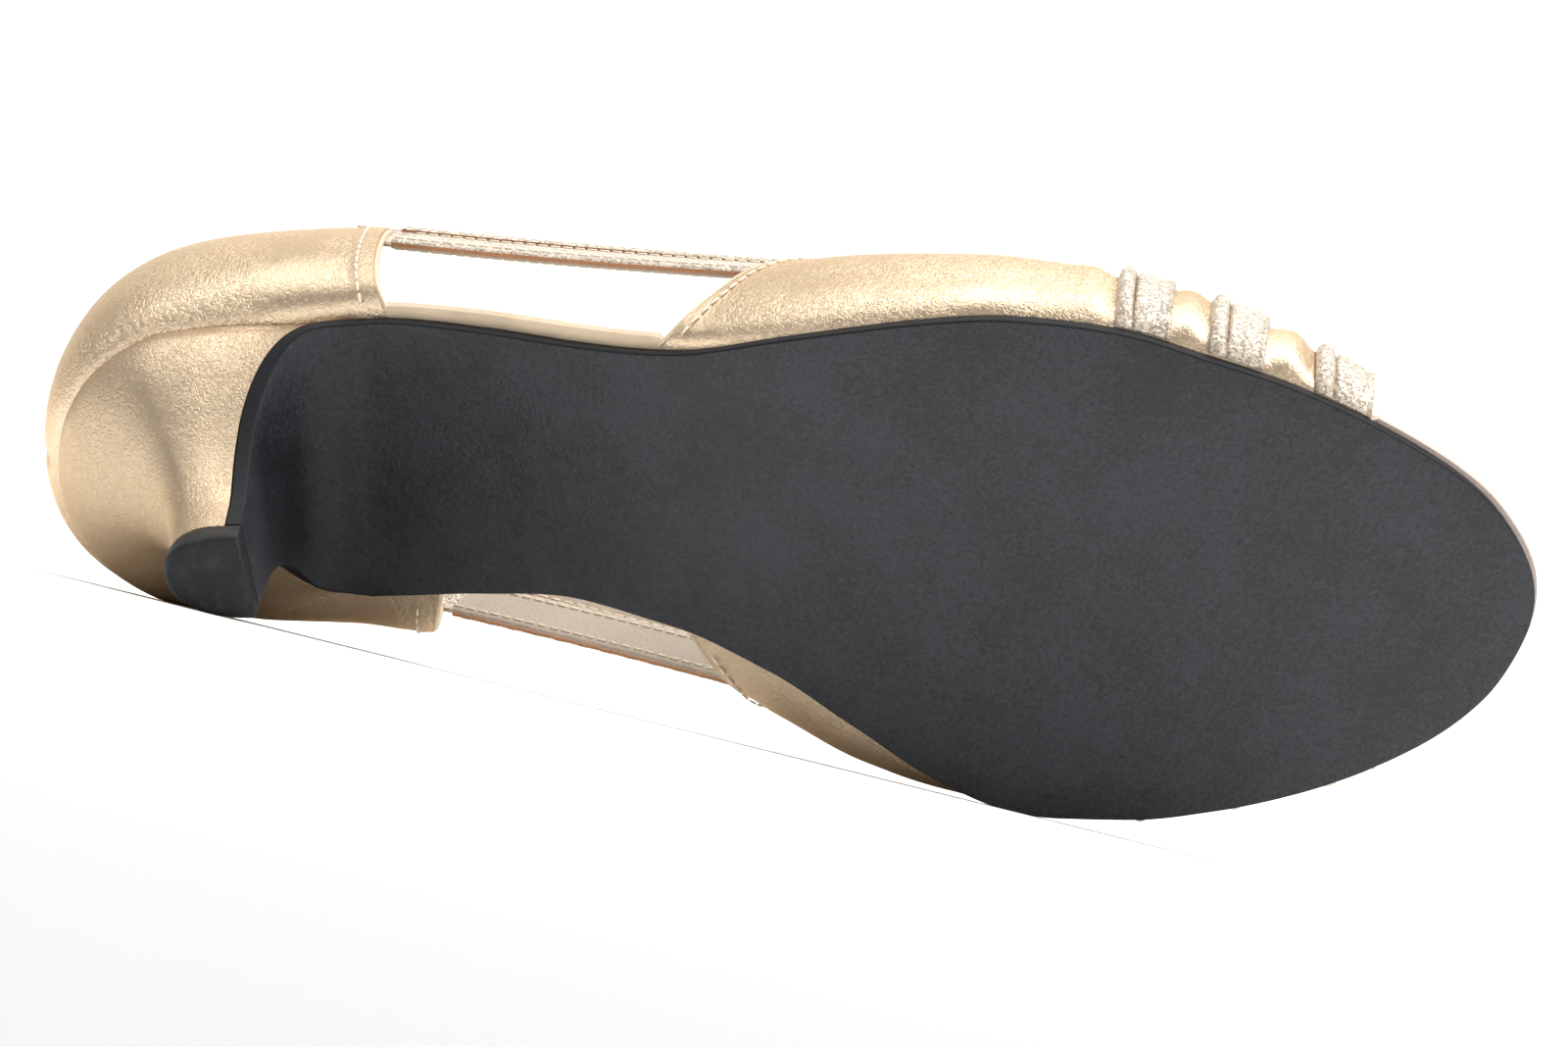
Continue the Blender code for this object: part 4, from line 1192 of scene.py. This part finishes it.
def quarter_front(side, height):
    """Point in the quarter's wall near its front edge, at a height."""
    front = QUARTER_FRONT_LAT if side < 0 else QUARTER_FRONT_MED
    collar = BACK_HEIGHT * quarter["height"](front)
    above = (height - WIDEST_HEIGHT) / (collar - WIDEST_HEIGHT)
    outer = quarter_points(side * STRAP_END, QUARTER_SPLIT + (1 - QUARTER_SPLIT) * above)
    return outer - np.array((0, side * UPPER_WALL * STRAP_SEAT, 0))


def vamp_side(side, height, share):
    """Point in the vamp's wall at a height above the insole."""
    nearer = spaced(400, 0, 0.5)
    across = nearer if side < 0 else 1 - nearer
    points = arch_points(share, across)
    found = int(np.argmax(points[:, 2] - bottom_z(share) >= height))
    return points[found] - np.array((0, side * UPPER_WALL * STRAP_REST, 0))


def strap_frames(row, count):
    """Middle line of a strap with its upward and outward directions."""
    side, quarter_height, vamp_height, vamp_x, lean = row
    start = quarter_front(side, quarter_height * WIDEST_HEIGHT)
    finish = vamp_side(side, vamp_height * WIDEST_HEIGHT, vamp_x)
    run = unit(finish - start)
    start = start - run * STRAP_LAP
    tilt = math.radians(lean)
    upright = np.array((0, -side * math.sin(tilt), math.cos(tilt)))
    upright = unit(upright - run * (upright @ run))
    out = np.cross(run, upright)
    out = out if out[1] * side > 0 else -out
    t = spaced(count)[:, None]
    centre = start + (finish - start) * t
    centre = centre - np.array((0, side, 0)) * STRAP_SAG * 4 * t * (1 - t)
    return centre, upright, out


# A strap's section: share of half the thickness outwards, and distance in from its edge
GLITTER_RIM = ((0.28, 0.0), (0.62, 0.00016), (0.88, 0.0006), (1.0, 0.0013))
LINING_RIM = ((-0.44, 0.0), (-0.82, 0.00012), (-1.0, 0.0005))
RAW_RIM = ((0.24, 0.00014), (-0.40, 0.00014))
STUB_LENGTH = 0.0060
STRAP_POINTS = 90
STRAP_STITCH_ROWS = (-0.36, 0.36)
# Uneven edge of the straps: height and step of two waves
RIPPLES = ((0.00010, 0.55), (0.00006, 1.7))
GLITTER, RAW, LINED = 0, 1, 2


def strap_section():
    """Outline of a strap as outward and upward distances, with each strip's layer."""
    half = STRAP_WIDTH / 2
    thick = STRAP_THICKNESS / 2
    rows = [(0.24, RAW_RIM[0][1] - half, RAW)]
    rows += [(out, inward - half, GLITTER) for out, inward in GLITTER_RIM]
    inner = half - GLITTER_RIM[-1][1]
    rows += [(1.0 + 0.12 * math.cos(math.pi * y / 2 / inner), y, GLITTER)
             for y in spaced(7, -inner, inner)[1:-1]]
    rows += [(out, half - inward, GLITTER) for out, inward in reversed(GLITTER_RIM)]
    rows[-1] = rows[-1][:2] + (RAW,)
    rows += [(out, half - inward, RAW) for out, inward in RAW_RIM]
    rows += [(out, half - inward, LINED) for out, inward in LINING_RIM]
    inner = half - LINING_RIM[-1][1]
    rows += [(-1.0, y, LINED) for y in spaced(7, inner, -inner)[1:-1]]
    rows += [(out, inward - half, LINED) for out, inward in reversed(LINING_RIM)]
    rows[-1] = rows[-1][:2] + (RAW,)
    rows += [(RAW_RIM[1][0], RAW_RIM[1][1] - half, RAW)]
    return [(out * thick, y, layer) for out, y, layer in rows]


def strap_start(centre):
    """Share of the centre line at which the strap comes out over its stub."""
    length = np.linalg.norm(centre[-1] - centre[0])
    return (STRAP_LAP + STUB_LENGTH) / length


class SANDAL_OT_straps(bpy.types.Operator):
    """Two glitter straps a side across the open waist, sewn over a stub"""
    bl_idname = "sandal.straps"
    bl_label = "Straps"

    def execute(self, context):
        section = strap_section()
        finishes = [finish_of("glitter"), finish_of("copper"), finish_of("lining")]
        for number, row in enumerate(STRAPS):
            centre, up, out = strap_frames(row, STRAP_POINTS)
            first = int(strap_start(centre) * (STRAP_POINTS - 1))
            loops = []
            for i, middle in enumerate(centre[first:]):
                ripple = (RIPPLES[0][0] * math.sin(i * RIPPLES[0][1])
                          + RIPPLES[1][0] * math.sin(i * RIPPLES[1][1] + number))
                loops.append([middle + out * a + up * (b + math.copysign(ripple, b))
                              for a, b, layer in section])
            obj = loft("strap_%d" % (number + 1), np.array(loops), finishes,
                       lambda k: section[k][2], caps="fan", smooth=50)
            ridden(obj, "glitter")
        for side in (-1, 1):
            obj = stub(side)
            ridden(obj, "glitter")
        return {"FINISHED"}


def stub(side):
    """Glitter panel that comes out from under the quarter's front edge and carries the
    side's two straps."""
    rows = [row for row in STRAPS if row[0] == side]
    half = STRAP_WIDTH / 2
    frames = [strap_frames(row, STRAP_POINTS) for row in rows]
    count = int(strap_start(frames[0][0]) * (STRAP_POINTS - 1)) + 4
    thick = STRAP_THICKNESS * 0.5
    loops = []
    for i in range(0, count):
        line = []
        for centre, up, out in frames:
            for height in (-half + 0.0004, -half / 2, 0.0, half / 2, half - 0.0004):
                line.append((centre[i] + up * height - out * 0.0002, out))
        outer = [point + out * thick / 2 for point, out in line]
        inner = [point - out * thick / 2 for point, out in reversed(line)]
        low = [(outer[0] + inner[-1]) / 2 - frames[0][1] * thick * 0.3]
        high = [(outer[-1] + inner[0]) / 2 + frames[1][1] * thick * 0.3]
        loops.append(low + outer + high + inner)
    name = "stub_lateral" if side < 0 else "stub_medial"
    return loft(name, np.array(loops), [finish_of("glitter")], caps="fan", smooth=50)


def off_arch(share, across, lift):
    """Points off the last's surface."""
    reach = 0.003
    ahead = arch_points(share + reach, across) - arch_points(share - reach, across)
    high = np.minimum(across + reach, 1)
    low = np.maximum(across - reach, 0)
    over = arch_points(share, high) - arch_points(share, low)
    return arch_points(share, across) + unit(np.cross(ahead, over)) * lift[..., None]


# Raised rim at a band's toe side, as shares of its width and height
BAND_RIM = ((0.89, 0.90), (0.92, 1.02), (0.95, 1.12), (0.98, 1.02), (1.0, 0.75), (1.0, 0.35))


class SANDAL_OT_toe_bands(bpy.types.Operator):
    """Three glitter bands over the toe, each a rolled cord beside a flat band"""
    bl_idname = "sandal.toe_bands"
    bl_label = "Toe bands"

    def execute(self, context):
        cord = CORD_WIDTH
        section = []
        for turn in spaced(11, math.pi, 0):
            section.append((cord / 2 - math.cos(turn) * -cord / 2,
                            0.25 * CORD_HEIGHT + 0.75 * CORD_HEIGHT * math.sin(turn)))
        section += [(1.06 * cord, 0.5 * BAND_HEIGHT), (1.12 * cord, 0.86 * BAND_HEIGHT),
                    (1.25 * cord, BAND_HEIGHT)]
        section += [(x, BAND_HEIGHT) for x in spaced(8, 1.5 * cord, 0.86 * BAND_WIDTH)]
        section += [(share * BAND_WIDTH, height * BAND_HEIGHT) for share, height in BAND_RIM]
        top = np.array(section)
        for number, row in enumerate(BANDS):
            across = spaced(170, 0.035, 0.965)
            start = row[0] + (row[1] - row[0]) * across
            ease = 0.3 + 0.7 * step(np.minimum(across, 1 - across), 0.03, 0.11)
            along = np.concatenate([top[:, 0], top[::-1, 0]])
            share = start[:, None] + along[None, :] / LAST_LENGTH
            upper = GAP + (top[:, 1][None, :] - GAP) * ease[:, None]
            lower = np.full((len(across), len(top)), GAP * 0.3)
            lift = np.concatenate([upper, lower], axis=1)
            loops = off_arch(share, np.broadcast_to(across[:, None], share.shape), lift)
            obj = loft("band_%d" % (number + 1), loops, [finish_of("glitter")], smooth=50)
            ridden(obj, "glitter", "toe_band_%d" % (number + 1))
        return {"FINISHED"}


def tube(name, path, normals, radius, material, sides=9):
    """Round cord along a path whose normals are known."""
    along = unit(np.gradient(path, axis=0))
    beside = unit(np.cross(along, normals))
    over = np.cross(beside, along)
    turn = spaced(sides + 1, 0, 2 * math.pi)[:-1]
    turn = turn[None, :, None]
    ring = np.cos(turn) * beside[:, None] + np.sin(turn) * over[:, None]
    return loft(name, path[:, None] + ring * radius, [material], caps="fan")


class SANDAL_OT_piping(bpy.types.Operator):
    """Thin gold piping along the vamp's rear edge and the quarter's front edges"""
    bl_idname = "sandal.piping"
    bl_label = "Piping"

    def execute(self, context):
        across = spaced(220, 0.012, 0.988)
        lift = np.full(across.shape, -0.0001)
        share = vamp["throat"](across) - 0.00025 / LAST_LENGTH
        path = off_arch(share, across, lift)
        normals = unit(off_arch(share, across, lift + 0.001) - path)
        obj = tube("vamp_piping", path, normals, VAMP_PIPING, finish_of("wrap"))
        ridden(obj, "leather")
        for side, name in SIDES:
            up = spaced(80, 0.03, 0.985)
            path = quarter_points(side * 1.0, up)
            beside = path - quarter_points(side * 0.98, up)
            normals = unit(np.cross(np.gradient(path, axis=0), beside)) * side
            path = path - normals * UPPER_WALL * 0.4 + unit(beside) * 0.0002
            obj = tube("quarter_edge_" + name, path, normals, QUARTER_PIPING, finish_of("wrap"))
            ridden(obj, "leather")
        return {"FINISHED"}


class SANDAL_OT_stitching(bpy.types.Operator):
    """Stitch lines on the quarter's folds, the vamp's edge and the straps"""
    bl_idname = "sandal.stitching"
    bl_label = "Stitching"

    def execute(self, context):
        s = sizes()
        lift = s.fold_lip + s.thread_width * 0.2
        paths = []
        for side in (-1, 1):
            up = spaced(60, 0.12, 0.97)
            wide = np.linalg.norm(quarter_points(side * 1.0, 0.5) - quarter_points(side * 0.9, 0.5))
            place = side * (1 - 0.1 * (s.fold_width - 0.001) / wide)
            points = quarter_points(place, up)
            beside = quarter_points(place + 0.01, up) - quarter_points(place - 0.01, up)
            rise = np.gradient(points, axis=0)
            normals = unit(np.cross(rise, beside))
            paths.append(points + normals * lift)
        across = spaced(150, 0.05, 0.95)
        throat = vamp["throat"](across) + 0.0019 / LAST_LENGTH
        paths.append(off_arch(throat, across, np.full(across.shape, lift)))
        obj = stitch_line("edge_stitches", paths)
        ridden(obj, "leather")
        paths = []
        for row in STRAPS:
            centre, up, out = strap_frames(row, STRAP_POINTS)
            first = int(strap_start(centre) * (STRAP_POINTS - 1)) + 1
            for height in STRAP_STITCH_ROWS:
                for face in (-1, 1):
                    paths.append(centre[first:-3] + up * STRAP_WIDTH * height
                                 + out * (face * (STRAP_THICKNESS / 2 + 0.0001)))
        obj = stitch_line("strap_stitches", paths)
        ridden(obj, "leather")
        return {"FINISHED"}


class SANDAL_OT_stage(bpy.types.Operator):
    """Pale floor and backdrop, soft lights and the camera low beside the sole"""
    bl_idname = "sandal.stage"
    bl_label = "Stage"

    def execute(self, context):
        floor()
        lights()
        camera()
        return {"FINISHED"}


def floor():
    """A white floor that sweeps up into a backdrop behind the shoe."""
    profile_points = [(-3.0, 0.0), (1.2, 0.0)]
    radius = 1.2
    for turn in spaced(24, 0, math.pi / 2):
        profile_points.append((1.2 + radius * math.sin(turn), radius * (1 - math.cos(turn))))
    profile_points.append((1.2 + radius, 5.0))
    wide = 5.0
    points = []
    faces = []
    for i, (y, z) in enumerate(profile_points):
        points += [(-wide, y, z), (wide, y, z)]
        if i:
            faces.append((2 * i - 2, 2 * i - 1, 2 * i + 1, 2 * i))
    mesh = bpy.data.meshes.new("floor")
    mesh.from_pydata(points, [], faces)
    mesh.shade_smooth()
    f = Finish("studio_white")
    mesh.materials.append(f.finish((0.97, 0.97, 0.97, 1), 1.0, Specular_IOR_Level=0.0))
    obj = bpy.data.objects.new("floor", mesh)
    bpy.context.scene.collection.objects.link(obj)


# Soft boxes: name, place from the middle of the shoe, what they face, size and watts
SOFT_BOXES = (
    ("key", (0.75, -0.35, 1.10), (0.0, 0.0, 0.0), 1.1, 16.0),
    ("top", (0.0, 0.10, 1.60), (0.0, 0.0, 0.0), 1.8, 16.0),
    ("backdrop", (0.0, 0.50, 1.60), (0.0, 2.4, 0.3), 2.6, 50.0),
)
WORLD_LIGHT = 0.34


def lights():
    """Pale world, two soft boxes above the shoe, and a light on the backdrop."""
    world = bpy.data.worlds.new("studio")
    world.use_nodes = True
    background = world.node_tree.nodes["Background"]
    background.inputs["Color"].default_value = (1, 1, 1, 1)
    background.inputs["Strength"].default_value = WORLD_LIGHT
    bpy.context.scene.world = world
    bpy.context.scene.view_settings.view_transform = "Standard"
    middle = SHOE @ Vector((LAST_LENGTH / 2, 0, 0.03))
    for name, offset, facing, size, power in SOFT_BOXES:
        light = bpy.data.lights.new(name, "AREA")
        light.size = size
        light.energy = power
        obj = bpy.data.objects.new(name, light)
        obj.location = middle + Vector(offset)
        way = middle + Vector(facing) - obj.location
        obj.rotation_euler = way.to_track_quat("-Z", "Y").to_euler()
        bpy.context.scene.collection.objects.link(obj)


# The photograph's view: tilt of the camera towards the lateral side of the sole's own normal,
# pixels for a millimetre at the sole, and the place that the middle of the picture shows
PHOTO_TILT = math.radians(4.3)
PHOTO_WIDTH = 1600
PIXELS_PER_MM = 6.25
PHOTO_MIDDLE = Vector((0.125, 0.0, 0.0))


def camera():
    """The photograph's angle to the sole, kept above the floor, with the toe to the right."""
    s = sizes()
    turn = SHOE.to_3x3()
    wanted = turn @ Vector((0, -math.sin(PHOTO_TILT), -math.cos(PHOTO_TILT)))
    aim = SHOE @ (PHOTO_MIDDLE + Vector((0, 0, 0.018)))
    rise = max(math.asin(wanted.z), math.asin((s.camera_height - aim.z) / s.camera_distance))
    flat = Vector((wanted.x, wanted.y, 0)).normalized()
    away = flat * math.cos(rise) + Vector((0, 0, math.sin(rise)))
    right = turn @ Vector((1, 0, 0))
    right = (right - away * right.dot(away)).normalized()
    up = away.cross(right).normalized()
    data = bpy.data.cameras.new("camera")
    data.sensor_width = 36.0
    data.lens = data.sensor_width * PIXELS_PER_MM * s.camera_distance * 1000 / PHOTO_WIDTH
    data.clip_start = 0.01
    data.clip_end = 50.0
    obj = bpy.data.objects.new("camera", data)
    place = Matrix((right, up, away)).transposed().to_4x4()
    obj.matrix_world = Matrix.Translation(aim + away * s.camera_distance) @ place
    bpy.context.scene.collection.objects.link(obj)
    bpy.context.scene.camera = obj


class SANDAL_PT_panel(bpy.types.Panel):
    """Every piece of the sandal"""
    bl_label = "Sandal"
    bl_idname = "SANDAL_PT_panel"
    bl_space_type = "VIEW_3D"
    bl_region_type = "UI"
    bl_category = "Sandal"

    def draw(self, context):
        for name in STEPS:
            self.layout.operator("sandal." + name)


STEPS = ("outsole", "top_lift", "heel", "insole", "vamp", "quarter", "straps", "toe_bands",
         "piping", "stitching", "stage")

CLASSES = (
    SandalColours, SandalSizes, SANDAL_OT_outsole, SANDAL_OT_top_lift, SANDAL_OT_heel,
    SANDAL_OT_insole, SANDAL_OT_vamp, SANDAL_OT_quarter, SANDAL_OT_straps,
    SANDAL_OT_toe_bands, SANDAL_OT_piping, SANDAL_OT_stitching, SANDAL_OT_stage, SANDAL_PT_panel,
)


def register():
    for item in CLASSES:
        bpy.utils.register_class(item)
    bpy.types.Scene.sandal_colours = bpy.props.PointerProperty(type=SandalColours)
    bpy.types.Scene.sandal_sizes = bpy.props.PointerProperty(type=SandalSizes)


def unregister():
    del bpy.types.Scene.sandal_colours
    del bpy.types.Scene.sandal_sizes
    for item in reversed(CLASSES):
        bpy.utils.unregister_class(item)


def main():
    register()
    for name in STEPS:
        getattr(bpy.ops.sandal, name)()


if __name__ == "__main__":
    main()
